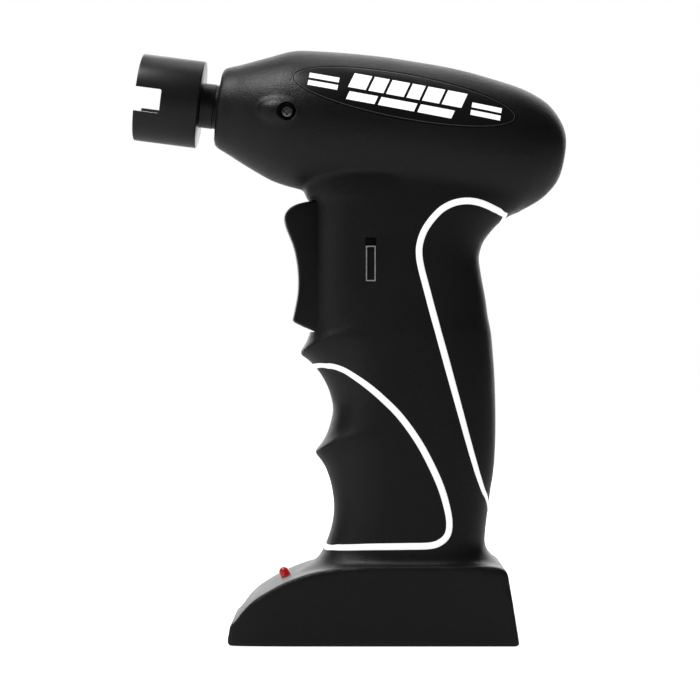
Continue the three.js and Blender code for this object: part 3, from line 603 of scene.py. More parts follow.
# %% Handle
handle_front = through(
    [(14, -22), (20.5, -21.2), (23, -17.3), (24.8, -15.7), (28.4, -13.9), (33.8, -12.2), (39, -11.6),
     (44.5, -12.2), (48, -13.1), (51.7, -14.6), (54, -16.2), (55.3, -17.3), (56.4, -16.5),
     (58.8, -14.7), (62.4, -13.1), (67.8, -11.9), (71.4, -12.4), (75, -13.6), (78.5, -15.5),
     (80.9, -17.4), (83, -19.5), (84.6, -21.7), (86, -21), (88.5, -19.6), (91.1, -18.7), (96, -18.2),
     (129, -18.2), (131, -19.8), (135, -20.9), (142, -21.3)]
)
handle_back = through(
    [(14, 40), (20.5, 39.2), (23, 37.4), (24.8, 35.3), (26.6, 33.9), (29.5, 33.2), (37.3, 34.6),
     (42.7, 35.7), (48, 36.2), (56, 36.5), (65, 36.45), (74, 36.1), (83, 35.4), (91, 34.65),
     (100, 33.6), (107.2, 32.3), (112.6, 31.5), (114.4, 31.7), (117.9, 32.9), (121.5, 35.6),
     (123.3, 37.4), (125.1, 39.6), (126.9, 43.2), (130, 47)]
)
handle_side = through(
    [(14, 21), (20.5, 20.8), (23.5, 18.9), (27, 18.1), (60, 18.1), (85, 17.8), (105, 16.6),
     (118, 16.3), (128, 16.4), (142, 16.2)]
)
ridge_line = through(
    [(20, -15.7), (24.8, -15.7), (55.3, -17.3), (84.6, -21.7), (88.5, -19.6), (91.1, -18.7),
     (96, -18.2), (129, -18.2), (131, -19.8), (142, -21.3)]
)
squareness = through([(20, 3.2), (40, 2.7), (80, 2.8), (105, 3), (142, 2.8)])
HANDLE_SPAN = (15, 142)
HANDLE_MIDDLE = 12
HOLLOW_DEPTH, HOLLOW_LENGTH = 0.55, 19
HOLLOW_RISE, RISE_LENGTH = 5.5, 16
RISE_LOW, RISE_HIGH = 30, 96


def handle(inset):
    """A tube of squarish section. Its finger hollows fade along the flanks and climb towards the back."""
    bm = tube_grid(112, 200)
    low, high = HANDLE_SPAN
    for vert in bm.verts:
        z = low + (high - low) * vert.co.z
        power = 2 / squareness(z)
        back, side = vert.co.x, vert.co.y
        reach = handle_back(z) - HANDLE_MIDDLE if back > 0 else HANDLE_MIDDLE - handle_front(z)
        x = math.copysign(abs(back) ** power, back) * (reach - inset)
        y = math.copysign(abs(side) ** power, side) * (handle_side(z) - inset)
        behind_front = HANDLE_MIDDLE + x - ridge_line(z)
        fading = max(0.0, 1 - behind_front / HOLLOW_LENGTH) ** 1.4
        scoop = max(0.0, handle_front(z) - ridge_line(z)) * fading
        y -= math.copysign(min(HOLLOW_DEPTH * scoop, abs(y)), y)
        rise = min(1, max(0.0, (z - RISE_LOW) / 10), max(0.0, (RISE_HIGH - z) / 11)) * HOLLOW_RISE
        climb = max(0.0, min(1.0, (HANDLE_MIDDLE + x - handle_front(z)) / RISE_LENGTH))
        vert.co = (HANDLE_MIDDLE + x, y, z + rise * climb * (2 - climb))
    return as_solid(bm, "handle")


print("handle", len(handle(0).data.vertices), "vertices")

# %% Foot
foot_top = through(
    [(-42.3, 2), (-41.5, 4.8), (-38.7, 9.2), (-35.8, 12.4), (-33, 14.5), (-27.3, 17.8), (-21.6, 20.2),
     (-15.9, 21.8), (-5, 23), (19, 23.3), (31, 23.4), (35, 23.3), (38, 22.7), (40.2, 21.6),
     (41.4, 20.2), (42, 18.4)]
)
foot_half_width = through([(-42, 20.2), (-38, 21.2), (-30, 21.8), (-18, 22), (42, 22)])
FOOT_LENGTH, FOOT_HEIGHT, HEEL = 84.6, 23.4, 42
HEEL_LEAN = 3.5
SHARP_ENOUGH = 0.6


def foot(inset):
    """A box under the top's curve. Its back leans forwards, and its long edges are rounded."""
    bm = bmesh.new()
    bmesh.ops.create_cube(bm, size=1)
    bmesh.ops.subdivide_edges(bm, edges=edges_along(bm, 0), cuts=70)
    for vert in bm.verts:
        x = vert.co.x * (FOOT_LENGTH - 2 * inset)
        top = foot_top(x) - inset
        z = top if vert.co.z > 0 else 0
        lean = HEEL_LEAN * (z / FOOT_HEIGHT) * max(0, x / HEEL) ** 8
        vert.co = (x - lean, math.copysign(foot_half_width(x) - inset, vert.co.y), z)
    rims = [edge for edge in bm.edges if edge.calc_face_angle(0) > SHARP_ENOUGH]
    ease_edges(bm, rims, 1.3, 4, clamp=True)
    return as_solid(bm, "foot")


print("foot", len(foot(0).data.vertices), "vertices")


# %% Fusing the three
def smooth_where(solid, wanted, rounds, factor=0.5):
    """Evens out the surface where a test on each point's place says so."""
    bm = bmesh.new()
    bm.from_mesh(solid.data)
    chosen = [vert for vert in bm.verts if wanted(vert.co)]
    for _ in range(rounds):
        bmesh.ops.smooth_vert(
            bm, verts=chosen, factor=factor, use_axis_x=True, use_axis_y=True, use_axis_z=True
        )
    bm.to_mesh(solid.data)
    bm.free()


def nose_boss(side):
    """The eye-shaped pad that the nose screw sits in. It stands clear of the cone only towards its front."""
    middle = middle_of("nose_screw_left" if side < 0 else "nose_screw_right")
    bm = bmesh.new()
    bmesh.ops.create_uvsphere(bm, u_segments=40, v_segments=24, radius=1)
    bmesh.ops.transform(bm, matrix=Matrix.Diagonal((8.6, 4.8, 4.9, 1)), verts=bm.verts)
    bmesh.ops.rotate(bm, verts=bm.verts, matrix=Matrix.Rotation(TILT, 3, "Y"))
    bmesh.ops.translate(bm, verts=bm.verts, vec=(middle.x - 0.4, side * 15.8, middle.z))
    return as_solid(bm)


def housing_form(inset, voxel, rounds=0):
    """Barrel, handle and foot fused, a given depth below the surface. Rounds of smoothing soften it."""
    form = barrel(inset)
    parts = [handle(inset), foot(inset)]
    if inset == 0:
        parts += [nose_boss(-1), nose_boss(1)]
    bm = bmesh.new()
    for part in [form, *parts]:
        bm.from_mesh(part.data)
        bpy.data.objects.remove(part)
    form = as_solid(bm, "form")
    step = form.modifiers.new("fuse", "REMESH")
    step.mode = "VOXEL"
    step.voxel_size = voxel
    bpy.context.view_layer.update()
    apply_modifiers(form)
    if rounds:
        smooth_where(form, lambda co: True, rounds)
        # The crease under the barrel, then the flanks of the handle's upper and lower part.
        smooth_where(form, lambda co: 127 < co.z < 142 and 6 < co.x < 46, 50)
        smooth_where(form, lambda co: 92 < co.z < 129 and abs(co.y) > 12, 16)
        smooth_where(form, lambda co: 28 < co.z < 92 and abs(co.y) > 14.5, 6)
        # The crease round the handle's foot, behind it and then all round.
        smooth_where(form, lambda co: 15 < co.z < 27 and co.x > 31, 10)
        smooth_where(form, lambda co: 19.8 < co.z < 26 and abs(co.y) < 19.6 and -25 < co.x < 38, 10)
    return form


GRIP_THICKNESS, WALL_THICKNESS = 1.3, 2.7
outer = housing_form(0, 0.62, rounds=4)
under_grips = housing_form(GRIP_THICKNESS, 1.0)
hollow = housing_form(WALL_THICKNESS, 1.2)
print("outer form", len(outer.data.polygons), "faces")

# %% [markdown]
# ## White piping
# Two loops of white piping frame the grips. On the side they follow flowing lines, and they close across the
# front and the back of the handle. Each loop is found by dropping a line's points onto the surface: from the
# side along the flanks, and from the front or the back where the handle turns away. A round cord of the path
# makes the bead, and a slightly thicker one cuts the groove, so a thin shadow runs along both edges.


# %% Piping paths
def smooth_line(points, steps=5):
    """A curve through given points, as a list of closer points."""
    points = [Vector((*point, 0)) for point in points]
    line = []
    for i, (start, end) in enumerate(zip(points, points[1:])):
        before, after = points[max(i - 1, 0)], points[min(i + 2, len(points) - 1)]
        leaving, arriving = start + (end - before) / 6, end - (after - start) / 6
        line += interpolate_bezier(start, leaving, arriving, end, steps + 1)[:-1]
    return [Vector(point[:2]) for point in line + [points[-1]]]


FRONT_FLANK = [
    (-13.4, 80.9), (-12, 80.85), (-9.5, 80.1), (-6.9, 78.75), (-1.7, 75.2), (2.5, 71.7), (7.7, 66.5),
    (12.8, 59.5), (16.6, 52.6), (19.7, 45.6), (21.6, 39), (22.1, 35), (21.6, 32.1), (19.8, 30.1),
    (16.5, 28.9), (9, 28.7), (0, 28.5), (-9, 28), (-11, 27.9),
]
REAR_FLANK = [
    (38, 125.6), (35.9, 126.7), (31.9, 128.4), (28.3, 129.1), (25, 128.9), (22.2, 128), (19.6, 126.4),
    (17, 123.7), (14.8, 120.4), (13.6, 117), (13.3, 114), (13.8, 110.1), (15.6, 103.1), (17.9, 94.4),
    (22.7, 77), (27.6, 59.5), (30.2, 50.8), (31.9, 45.8), (32.6, 44),
]
bm = bmesh.new()
bm.from_mesh(outer.data)
skin = BVHTree.FromBMesh(bm)
bm.free()
BEAD_DEPTH = 0.8


def below_skin(start, direction):
    """The point a bead's depth below the surface, straight under where a ray meets it."""
    place, normal, _, _ = skin.ray_cast(Vector(start), Vector(direction))
    return place - normal * BEAD_DEPTH


def loop_path(flank, ends, facing):
    """One closed loop: across the middle, down the left flank, across again, and the mirror image."""
    side = [below_skin((x, -60, z), (0, 1, 0)) for x, z in smooth_line(flank)]
    first, last = side[0], side[-1]
    start_z, end_z = ends
    inwards = (-facing, 0, 0)
    opening, closing = [], []
    for t in (0, 0.16, 0.33, 0.5, 0.67, 0.84):
        upper = (60 * facing, first.y * t, start_z + (first.z - start_z) * t**2)
        lower = (60 * facing, last.y * t, end_z + (last.z - end_z) * t**2)
        opening.append(below_skin(upper, inwards))
        closing.insert(0, below_skin(lower, inwards))
    left = opening + side + closing
    right = [Vector((point.x, -point.y, point.z)) for point in reversed(left[1:-1])]
    return left + right


def round_cord(path, radius, name="cord"):
    """A closed cord of round section along a closed path."""
    curve = bpy.data.curves.new(name, "CURVE")
    curve.dimensions = "3D"
    curve.bevel_depth = radius
    curve.bevel_resolution = 5
    curve.resolution_u = 3
    line = curve.splines.new("NURBS")
    line.points.add(len(path) - 1)
    for point, place in zip(line.points, path):
        point.co = (*place, 1)
    line.order_u = 4
    line.use_cyclic_u = True
    drawn = bpy.data.objects.new(name, curve)
    workshop.objects.link(drawn)
    bpy.context.view_layer.update()
    mesh = bpy.data.meshes.new_from_object(drawn.evaluated_get(bpy.context.evaluated_depsgraph_get()))
    bpy.data.objects.remove(drawn)
    bm = bmesh.new()
    bm.from_mesh(mesh)
    return as_solid(bm, name)


front_path = loop_path(FRONT_FLANK, (80.9, 27.4), -1)
rear_path = loop_path(REAR_FLANK, (124, 37.9), 1)
PATHS = {"front": front_path, "rear": rear_path}
BEAD_RADIUS, GROOVE_RADIUS = 1.1, 1.27
print("piping paths of", len(front_path), "and", len(rear_path), "points")

# %% [markdown]
# ## Cutting the housing
# The grip regions are taken out of the skin and the piping grooves are cut. Then the housing is hollowed, and
# the screw wells and the openings follow: the trigger's window, the slider's slot, the battery hatch, the
# charging socket and the spindle's hole. At the end it is parted down the middle, which leaves a hair-wide
# seam. A thin lap that belongs to the left half lies behind the seam, so no light comes through.

# %% Grip regions and grooves
front_region_outline = [(-40, 80.9), *smooth_line(FRONT_FLANK), (-40, 27.6)]
rear_region_outline = [(70, 124), (41.5, 124.3), *smooth_line(REAR_FLANK), (70, 37.9)]
GRIP_OUTLINES = {"front": front_region_outline, "rear": rear_region_outline}
grips = {}
for place_name, outline in GRIP_OUTLINES.items():
    region = side_prism(outline)
    insert = combine(copy_of(outer), "INTERSECT", region, keep=True)
    combine(insert, "DIFFERENCE", under_grips, keep=True)
    combine(insert, "DIFFERENCE", round_cord(PATHS[place_name], GROOVE_RADIUS))
    grips[place_name] = insert
    combine(region, "DIFFERENCE", under_grips, keep=True)
    combine(outer, "DIFFERENCE", region, round_cord(PATHS[place_name], GROOVE_RADIUS))
print("grips", [len(grip.data.polygons) for grip in grips.values()])

# %% Screw wells and openings
HOUSING_SCREWS = [name for name in frame["nodes"] if name.startswith("housing_screw")]
NOSE_SCREWS = {"nose_screw_left": -1, "nose_screw_right": 1}
HATCH_SCREWS = ("hatch_screw_left", "hatch_screw_right")
BOSS_RADIUS, WELL_RADIUS = 4.6, 3
NOSE_WELL_RADIUS, NOSE_WELL_RIM = 2.7, 4.2


def crossing_cylinder(middle, near, far, *radii):
    """A cylinder or cone across the tool, from one Y to another."""
    return cylinder((middle.x, near, middle.z), (middle.x, far, middle.z), *radii)


combine(outer, "DIFFERENCE", hollow, keep=True)
bosses, wells = [], []
for node_name in HOUSING_SCREWS:
    middle = middle_of(node_name)
    head_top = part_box(node_name)[1].y / MM
    boss = crossing_cylinder(middle, 0.1, head_top + 1.5, BOSS_RADIUS)
    bosses.append(combine(boss, "INTERSECT", under_grips, keep=True))
    wells.append(crossing_cylinder(middle, head_top - 2.2, 40, WELL_RADIUS))
for node_name, side in NOSE_SCREWS.items():
    middle = middle_of(node_name)
    wells.append(crossing_cylinder(middle, side * 16.6, side * 30, NOSE_WELL_RADIUS))
    wells.append(crossing_cylinder(middle, side * 19.9, side * 20.9, NOSE_WELL_RADIUS, NOSE_WELL_RIM))
combine(outer, "UNION", *bosses)
combine(outer, "DIFFERENCE", *wells)
print(len(wells), "screw wells")

# %% Window, slot, hatch, charging socket and spindle's hole
trigger_low, trigger_high = corners_of("trigger")
lever_low, lever_high = corners_of("direction_lever")
hatch_low, hatch_high = corners_of("battery_hatch")
jack_middle = middle_of("charge_jack")
FLANGE_OVERLAP, WINDOW_EDGE, WINDOW_HALF_WIDTH = 1.5, 0.25, 8.75
window_top = trigger_high.z - FLANGE_OVERLAP + WINDOW_EDGE
window_bottom = trigger_low.z + FLANGE_OVERLAP - WINDOW_EDGE
LEVER_HALF = (1.38, 5.1)
SLOT_HALF_WIDTH, SLOT_BELOW, SLOT_ABOVE = 1.62, 5.4, 7.5
lever_middle = Vector(
    ((lever_low.x + lever_high.x) / 2 - 0.15, lever_low.y, (lever_low.z + lever_high.z) / 2)
)
slot_low = (lever_middle.x - SLOT_HALF_WIDTH, -30, lever_middle.z - SLOT_BELOW)
slot_high = (lever_middle.x + SLOT_HALF_WIDTH, -9, lever_middle.z + SLOT_ABOVE)
HATCH_GAP = 0.2
hatch_hole_low = (hatch_low.x - HATCH_GAP, hatch_low.y - HATCH_GAP, -3)
hatch_hole_high = (hatch_high.x + HATCH_GAP, hatch_high.y + HATCH_GAP, 2.3)
openings = [
    block((-40, -WINDOW_HALF_WIDTH, window_bottom), (-9, WINDOW_HALF_WIDTH, window_top)),
    block(slot_low, slot_high),
    block(hatch_hole_low, hatch_hole_high),
    cylinder((33, 0, jack_middle.z), (60, 0, jack_middle.z), 3.55),
]
axis_hole = cylinder((-10, 0, 0), (40, 0, 0), 7.1, segments=64)
axis_hole.data.transform(ON_AXIS)
openings.append(axis_hole)
combine(outer, "DIFFERENCE", *openings, keep=True)
lap = combine(copy_of(under_grips), "INTERSECT", block((-90, -0.5, -20), (90, 0.4, 200)))
combine(lap, "DIFFERENCE", hollow, *openings)
print("openings cut, and a lap behind the parting line")

# %% [markdown]
# ## The oval badge
# An oval plate lies in a shallow recess on each side of the barrel. It carries only plain white bars, as
# printed panels do, with a thin pale outline. The prints are thin slices of the housing's own surface, so
# they follow the curve exactly.

# %% Badge outline and prints
FAINT_PRINT = finish("faint_grey_print", (0.13, 0.13, 0.13), 0.4, grain=0.05, dust=0.02)
BADGE_CENTRE = Vector((9.1, 159.3))
BADGE_SLOPE = math.radians(-10.6)
BADGE_HALF = (32.8, 6.9)


def on_badge(x, z):
    """A point in the badge's own axes, long side first, as a point of the side view."""
    turn = Matrix.Rotation(BADGE_SLOPE, 2)
    return tuple(BADGE_CENTRE + turn @ Vector((x, z)))


def oval(grow=0.0, steps=96):
    """The badge's outline in the side view, grown or shrunk a little."""
    half_long, half_short = BADGE_HALF[0] + grow, BADGE_HALF[1] + grow
    angles = (2 * math.pi * i / steps for i in range(steps))
    return [on_badge(half_long * math.cos(angle), half_short * math.sin(angle)) for angle in angles]


def slanted_bar(start, end, low, high, lean=0.25):
    """The corners of a printed bar whose ends lean."""
    return [on_badge(x + lean * z, z) for x, z in ((start, low), (end, low), (end, high), (start, high))]


def surface_layer(inset_low, inset_high):
    """The thin layer of the barrel between two depths below its surface."""
    layer = barrel(inset_low)
    return combine(layer, "DIFFERENCE", barrel(inset_high))


UPPER_BARS = [(-16.6, -11.4), (-10.6, -6.2), (-5.4, -0.2), (0.6, 4.4), (5.2, 10.2), (11.0, 16.8)]
LOWER_BARS = [(-15.6, -7.2), (-6.2, 4.4), (5.4, 15.4)]
END_BARS = [(-28.4, -19.6), (19.6, 28.4)]
bars = [slanted_bar(start, end, -0.4, 4.2) for start, end in UPPER_BARS]
bars += [slanted_bar(start, end, -4.1, -1.6) for start, end in LOWER_BARS]
bars += [slanted_bar(start, end, low, low + 1.5, 0) for start, end in END_BARS for low in (-1.9, 0.4)]
SIDES = {"left": (-40, -4), "right": (4, 40)}
PRINT_LAYER = (-0.03, 0.05)
badge_pieces = {}
for side_name, (near, far) in SIDES.items():
    badge_pieces[side_name] = combine(surface_layer(0.02, 0.6), "INTERSECT", side_prism(oval(), near, far))
    marks = side_prism(bars[0], near, far)
    for bar in bars[1:]:
        combine(marks, "UNION", side_prism(bar, near, far))
    badge_pieces[side_name + "_print"] = combine(surface_layer(*PRINT_LAYER), "INTERSECT", marks)
    ring = side_prism(oval(-0.2), near, far)
    combine(ring, "DIFFERENCE", side_prism(oval(-0.4), near - 1, far + 1))
    badge_pieces[side_name + "_ring"] = combine(surface_layer(*PRINT_LAYER), "INTERSECT", ring)
    recess = combine(surface_layer(-2, 0.65), "INTERSECT", side_prism(oval(0.25), near, far))
    combine(outer, "DIFFERENCE", recess)
print(len(bars), "bars on each badge")

# %% Parting the housing and delivering it
PARTING = 0.06
HALVES = {
    "left": block((-90, -60, -20), (90, -PARTING, 200)),
    "right": block((-90, PARTING, -20), (90, 60, 200)),
}
for side_name, half in HALVES.items():
    shell = combine(copy_of(outer), "INTERSECT", half, keep=True)
    if side_name == "left":
        combine(shell, "UNION", lap)
    deliver(shell, f"housing_half_{side_name}", "housing", "shell", [f"{side_name}_shell"])
    for place_name in grips:
        insert = combine(copy_of(grips[place_name]), "INTERSECT", half, keep=True)
        deliver(
            insert, f"{place_name}_insert_{side_name}", "housing", "grip", [f"{place_name}_grip_{side_name}"]
        )
        bead = combine(round_cord(PATHS[place_name], BEAD_RADIUS), "INTERSECT", half, keep=True)
        deliver(
            bead, f"{place_name}_bead_{side_name}", "housing", "piping", [f"{place_name}_piping_{side_name}"]
        )
    deliver(badge_pieces[side_name], f"oval_badge_{side_name}", "housing", "badge", [f"badge_{side_name}"])
    # The prints take the piping's finish, so they carry its painted glow too.
    deliver(badge_pieces[side_name + "_print"], f"badge_print_{side_name}", "housing", "piping", [])
    ring = deliver(badge_pieces[side_name + "_ring"], f"badge_outline_{side_name}", "housing", "badge", [])
    ring.data.materials[0] = FAINT_PRINT

# %% [markdown]
# ## Winder socket
# The socket is a cup on a short neck, turned from one profile, with a slot milled across its mouth for the
# flat of a tuning key. It has stopped a few degrees away from level. The turned corners and the slot's inner
# edges are eased.

# %% Socket
SOCKET = {"front": -24.7, "back": -5.9, "floor": -12.7, "outer": 12.95, "inner": 10.3, "neck": 6.65}
SLOT_WIDTH, SLOT_DEPTH = 7.1, 7.7
ROLL = math.radians(8)
NECK_GROOVE = 0.15
socket_profile = [
    (SOCKET["floor"], 0.0), (SOCKET["floor"], SOCKET["inner"]), (SOCKET["front"], SOCKET["inner"]),
    (SOCKET["front"], SOCKET["outer"]), (SOCKET["back"], SOCKET["outer"]), (SOCKET["back"], SOCKET["neck"]),
    (-2.0, SOCKET["neck"]), (-1.85, SOCKET["neck"] - NECK_GROOVE), (-1.45, SOCKET["neck"] - NECK_GROOVE),
    (-1.3, SOCKET["neck"]), (3, SOCKET["neck"]), (3, 0.0),
]
socket_place = ON_AXIS @ Matrix.Rotation(ROLL, 4, "X")
socket = turned(rounded(socket_profile, 0.45), steps=128)
slot_place = Matrix.Translation((SOCKET["front"] + SLOT_DEPTH / 2 - 5, 0, 0))
slot_size = Matrix.Diagonal((SLOT_DEPTH + 10, 60, SLOT_WIDTH, 1))
slot_bm = bmesh.new()
bmesh.ops.create_cube(slot_bm, size=1, matrix=slot_place @ slot_size)
inner_edges = [edge for edge in edges_along(slot_bm, 1, 1) if all(vert.co.x > -20 for vert in edge.verts)]
ease_edges(slot_bm, inner_edges, 0.5, 4)
combine(socket, "DIFFERENCE", as_solid(slot_bm))
socket.data.transform(socket_place)
deliver(socket, "slotted_socket", "head", "socket", ["winder_socket"])


# %% [markdown]
# ## Screws
# All the screws have pan heads with a cross recess. One builder makes a head and a short shank along an axis,
# and cuts the cross from two tapered blades.


# %% Cross-head screws
def cross_head(place, direction, radius, length):
    """A pan-head screw whose head's top is at place and whose shank runs along direction."""
    height = 0.75 * radius
    profile = [
        (0, 0.0), (0, radius * 0.55), (0.12 * height, radius * 0.82), (0.45 * height, radius),
        (height, radius), (height, radius * 0.5), (length, radius * 0.5), (length + 1, 0.0),
    ]
    screw = turned(rounded(profile, 0.15, 2), steps=48)
    for quarter in (0, math.pi / 2):
        blade = bmesh.new()
        blade_size = Matrix.Diagonal((1.3 * radius, radius * 0.36, radius * 1.7, 1))
        bmesh.ops.create_cube(blade, size=1, matrix=blade_size)
        for vert in blade.verts:
            if vert.co.x > 0:
                vert.co.z *= 0.35
        bmesh.ops.rotate(blade, verts=blade.verts, matrix=Matrix.Rotation(quarter, 3, "X"))
        combine(screw, "DIFFERENCE", as_solid(blade))
    aim = Vector(direction).to_track_quat("X", "Z").to_matrix().to_4x4()
    screw.data.transform(Matrix.Translation(Vector(place)) @ aim)
    return screw


screws = {}
for node_name in HOUSING_SCREWS:
    middle, top = middle_of(node_name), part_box(node_name)[1].y / MM
    screws[node_name] = cross_head((middle.x, top, middle.z), (0, -1, 0), 2.5, 8)
for node_name, side in NOSE_SCREWS.items():
    middle = middle_of(node_name)
    screws[node_name] = cross_head((middle.x, side * 18.5, middle.z), (0, -side, 0), 1.95, 7)
for node_name in HATCH_SCREWS:
    middle = middle_of(node_name)
    screws[node_name] = cross_head((middle.x, middle.y, 0.25), (0, 0, 1), 2.3, 6)
for node_name, screw in screws.items():
    deliver(screw, node_name + "_head", "housing", "screw", [node_name])

# %% [markdown]
# ## Trigger
# Seen from the side, the trigger's front is a shallow S that ends in a flat facet at the bottom. It is
# crowned across, and its edges are well rounded. A flange behind the window keeps it in, and a post pushes
# the switch.

# %% Trigger
trigger_front = [
    (-16, 129.8), (-19.2, 129.6), (-22.4, 128.9), (-24.8, 127.7), (-26.1, 126), (-26.4, 124.2),
    (-25.9, 121.9), (-24.9, 119.4), (-23.9, 116.8), (-23.1, 113.8), (-22.5, 110), (-22.3, 106.4),
    (-22.4, 103), (-22.8, 100), (-23.4, 97), (-23.9, 94.6),
]
trigger_heel = [(-23.4, 93.9), (-22.4, 93.4), (-20.6, 92.5), (-17.6, 91.3), (-9, 91.3)]
trigger_outline = [(-9, 129.8), *smooth_line(trigger_front, 4), *trigger_heel]
TRIGGER_HALF_WIDTH, CROWN, FACET_TOP, WINDOW_PLANE = 8.4, 0.4, 97.5, -12
bm = run_across(trigger_outline, -TRIGGER_HALF_WIDTH, TRIGGER_HALF_WIDTH)
bmesh.ops.recalc_face_normals(bm, faces=bm.faces)
bmesh.ops.subdivide_edges(bm, edges=edges_along(bm, 1, 1), cuts=9, use_grid_fill=True)
for vert in bm.verts:
    if vert.co.x < WINDOW_PLANE:
        vert.co.x += CROWN * abs(vert.co.y / TRIGGER_HALF_WIDTH) ** 4
        vert.co.y *= 0.92 + 0.02 * min(4.0, max(0.0, FACET_TOP - vert.co.z))
rim = [
    edge for edge in bm.edges
    if all(abs(vert.co.y) > 0.8 * TRIGGER_HALF_WIDTH for vert in edge.verts)
    and edge.calc_face_angle(0) > 0.7 and max(vert.co.x for vert in edge.verts) < -9.5
]
ease_edges(bm, rim, 0.9, 5, clamp=True)
trigger = as_solid(bm, "trigger")
post = cylinder((-9.5, 0, 111), (-5.2, 0, 111), 2.6)
flange_box = block((-9.1, -9.3, trigger_low.z), (-7.8, 9.3, trigger_high.z))
combine(trigger, "UNION", flange_box, post)
deliver(trigger, "finger_trigger", "finger_trigger", "trigger", ["trigger"], sharp=40)

# %% [markdown]
# ## Return spring
# A coil spring behind the trigger pushes it back out. On the real tool it gets shorter as the trigger comes
# in;
# here it stays at one length. A small disc of wire is spun about the spring's axis while it steps along,
# which draws the coil in one go.

# %% Trigger's return spring
spring_low, spring_high = corners_of("trigger_spring")
SPRING_TURNS, STEPS_A_TURN, WIRE_RADIUS = 5, 32, 0.35
coil_z = (spring_low.z + spring_high.z) / 2
coil_radius = (spring_high.z - spring_low.z) / 2 - WIRE_RADIUS
pitch = (spring_high.x - spring_low.x - 2 * WIRE_RADIUS) / SPRING_TURNS
bm = bmesh.new()
wire_start = Matrix.Translation((spring_low.x + WIRE_RADIUS, 0, coil_z + coil_radius))
wire_start = wire_start @ Matrix.Rotation(math.pi / 2, 4, "X")
bmesh.ops.create_circle(bm, cap_ends=True, segments=12, radius=WIRE_RADIUS, matrix=wire_start)
bmesh.ops.spin(
    bm, geom=bm.verts[:] + bm.edges[:] + bm.faces[:], cent=(0, 0, coil_z), axis=(1, 0, 0),
    dvec=(pitch / STEPS_A_TURN, 0, 0), angle=2 * math.pi * SPRING_TURNS,
    steps=SPRING_TURNS * STEPS_A_TURN,
)
return_spring = deliver(as_solid(bm), "return_spring", "housing", "steel", ["trigger_spring"])
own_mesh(return_spring)

# %% [markdown]
# ## Direction slider
# A small button stands in a slot beside the trigger and slides up or down to choose the direction. Its rim
# is painted pale, partly as wear and partly as a painted highlight where its edge catches the light, and its
# face is sunk a little for a fingertip. A shoe inside keeps it in.

# %% Slider
slider_low = Vector((lever_middle.x - LEVER_HALF[0], lever_low.y, lever_middle.z - LEVER_HALF[1]))
slider_high = Vector((lever_middle.x + LEVER_HALF[0], -11.3, lever_middle.z + LEVER_HALF[1]))
bm = bmesh.new()
slider_place = Matrix.Translation((slider_low + slider_high) / 2)
slider_size = Matrix.Diagonal((*(slider_high - slider_low), 1))
bmesh.ops.create_cube(bm, size=1, matrix=slider_place @ slider_size)
front_face = min(bm.faces, key=lambda face: face.calc_center_median().y)
ease_edges(bm, list(front_face.edges), 0.45, 3)
front_face = min(bm.faces, key=lambda face: face.calc_center_median().y - face.calc_area() * 0.01)
bmesh.ops.inset_region(bm, faces=[front_face], thickness=0.3, depth=0)
bmesh.ops.translate(bm, verts=front_face.verts, vec=(0, 0.35, 0))
slider = as_solid(bm, "slider")
shoe = block((-3.6, -11.7, lever_low.z), (2.4, -10.9, lever_high.z))
combine(slider, "UNION", shoe)
deliver(slider, "direction_slider", "direction", "trigger", ["direction_lever"])

# %% Slider's bright rim
RIM_PROUD, RIM_WIDTH, RIM_DEPTH = 0.04, 0.3, 0.9
rim_high = (slider_high.x + RIM_PROUD, slider_low.y + RIM_DEPTH, slider_high.z + RIM_PROUD)
rim_solid = block(slider_low - Vector((RIM_PROUD, RIM_PROUD, RIM_PROUD)), rim_high)
inside_high = (slider_high.x - RIM_WIDTH, slider_low.y + 2, slider_high.z - RIM_WIDTH)
inside = block(slider_low + Vector((RIM_WIDTH, -1, RIM_WIDTH)), inside_high)
combine(rim_solid, "DIFFERENCE", inside)
rim_piece = deliver(rim_solid, "slider_rim", "direction", "trigger", [])
# The rim's pale grey is partly wear and partly a painted highlight for the light its edge catches.
rim_piece.data.materials[0] = finish("pale_rim_wear_and_highlight", (0.6, 0.6, 0.6), 0.35, grain=0.1, dust=0.0)

# %% [markdown]
# ## Lamp, charging socket and battery hatch
# A red lamp dome stands up from the foot's ramp. A round socket for the charger opens at the back. A hatch
# with two screws and five grooves for the finger closes the battery space underneath, and two ribs on it
# reach up to the cells.

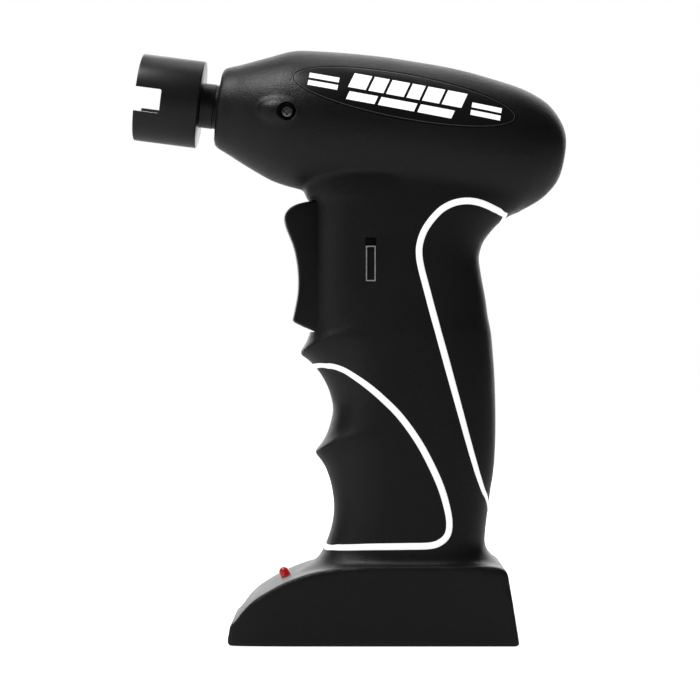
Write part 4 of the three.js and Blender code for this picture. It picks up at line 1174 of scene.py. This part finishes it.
# %% Charging lamp
lamp_foot = Vector((-25.9, 0, 18.3))
LAMP_LEAN = -24
lamp_axis = Matrix.Translation(lamp_foot) @ Matrix.Rotation(math.radians(LAMP_LEAN - 90), 4, "Y")
dome = [(1.4 + 1.5 * math.sin(a), 1.5 * math.cos(a)) for a in (math.radians(8 * i) for i in range(12))]
lamp_profile = [(-4, 0.0), (-4, 1.8), (-3, 1.8), (-3, 1.5), (1.4, 1.5), *dome[1:], (2.9, 0.0)]
deliver(turned(lamp_profile, lamp_axis, 48), "charge_lamp", "housing", "lens", ["charge_indicator"])

# %% Charging socket
jack_axis = Matrix.Translation((0, 0, jack_middle.z))
sleeve = [
    (28.5, 0.0), (28.5, 3.4), (39.2, 3.4), (39.9, 3.1), (39.9, 2.75), (39.6, 2.6), (30.5, 2.6), (30.5, 0.95),
    (38.6, 0.95), (39, 0.6), (39, 0.0),
]
jack = turned(sleeve, jack_axis, 64)
deliver(jack, "charging_socket", "housing", "plastic", ["charge_jack"])

# %% Battery hatch
bm = bmesh.new()
hatch_size = Vector((hatch_high.x - hatch_low.x, hatch_high.y - hatch_low.y, 2))
hatch_middle = Vector(((hatch_low.x + hatch_high.x) / 2, 0, 1))
bmesh.ops.create_cube(bm, size=1, matrix=Matrix.Translation(hatch_middle) @ Matrix.Diagonal((*hatch_size, 1)))
ease_edges(bm, edges_along(bm, 2, 1), 1.2, 5)
lower_rim = [edge for edge in bm.edges if all(vert.co.z < 0.01 for vert in edge.verts)]
ease_edges(bm, lower_rim, 0.25, 2)
hatch = as_solid(bm, "hatch")
hatch_cuts = []
for node_name in HATCH_SCREWS:
    middle = middle_of(node_name)
    hatch_cuts.append(cylinder((middle.x, middle.y, -1), (middle.x, middle.y, 1.9), 2.75))
GROOVE_SPACING = 1.7
for i in range(5):
    groove_x = hatch_low.x + 5 + GROOVE_SPACING * i
    hatch_cuts.append(cylinder((groove_x, -6, -0.25), (groove_x, 6, -0.25), 0.7, segments=24))
combine(hatch, "DIFFERENCE", *hatch_cuts)
ribs = [block((3, y - 1, 1), (21, y + 1, 26.3)) for y in (-7.4, 7.4)]
combine(hatch, "UNION", *ribs)
deliver(hatch, "battery_door", "housing", "shell", ["battery_hatch"])

# %% Closing up
for leftover in list(workshop.objects):
    bpy.data.objects.remove(leftover)
bpy.data.collections.remove(workshop)
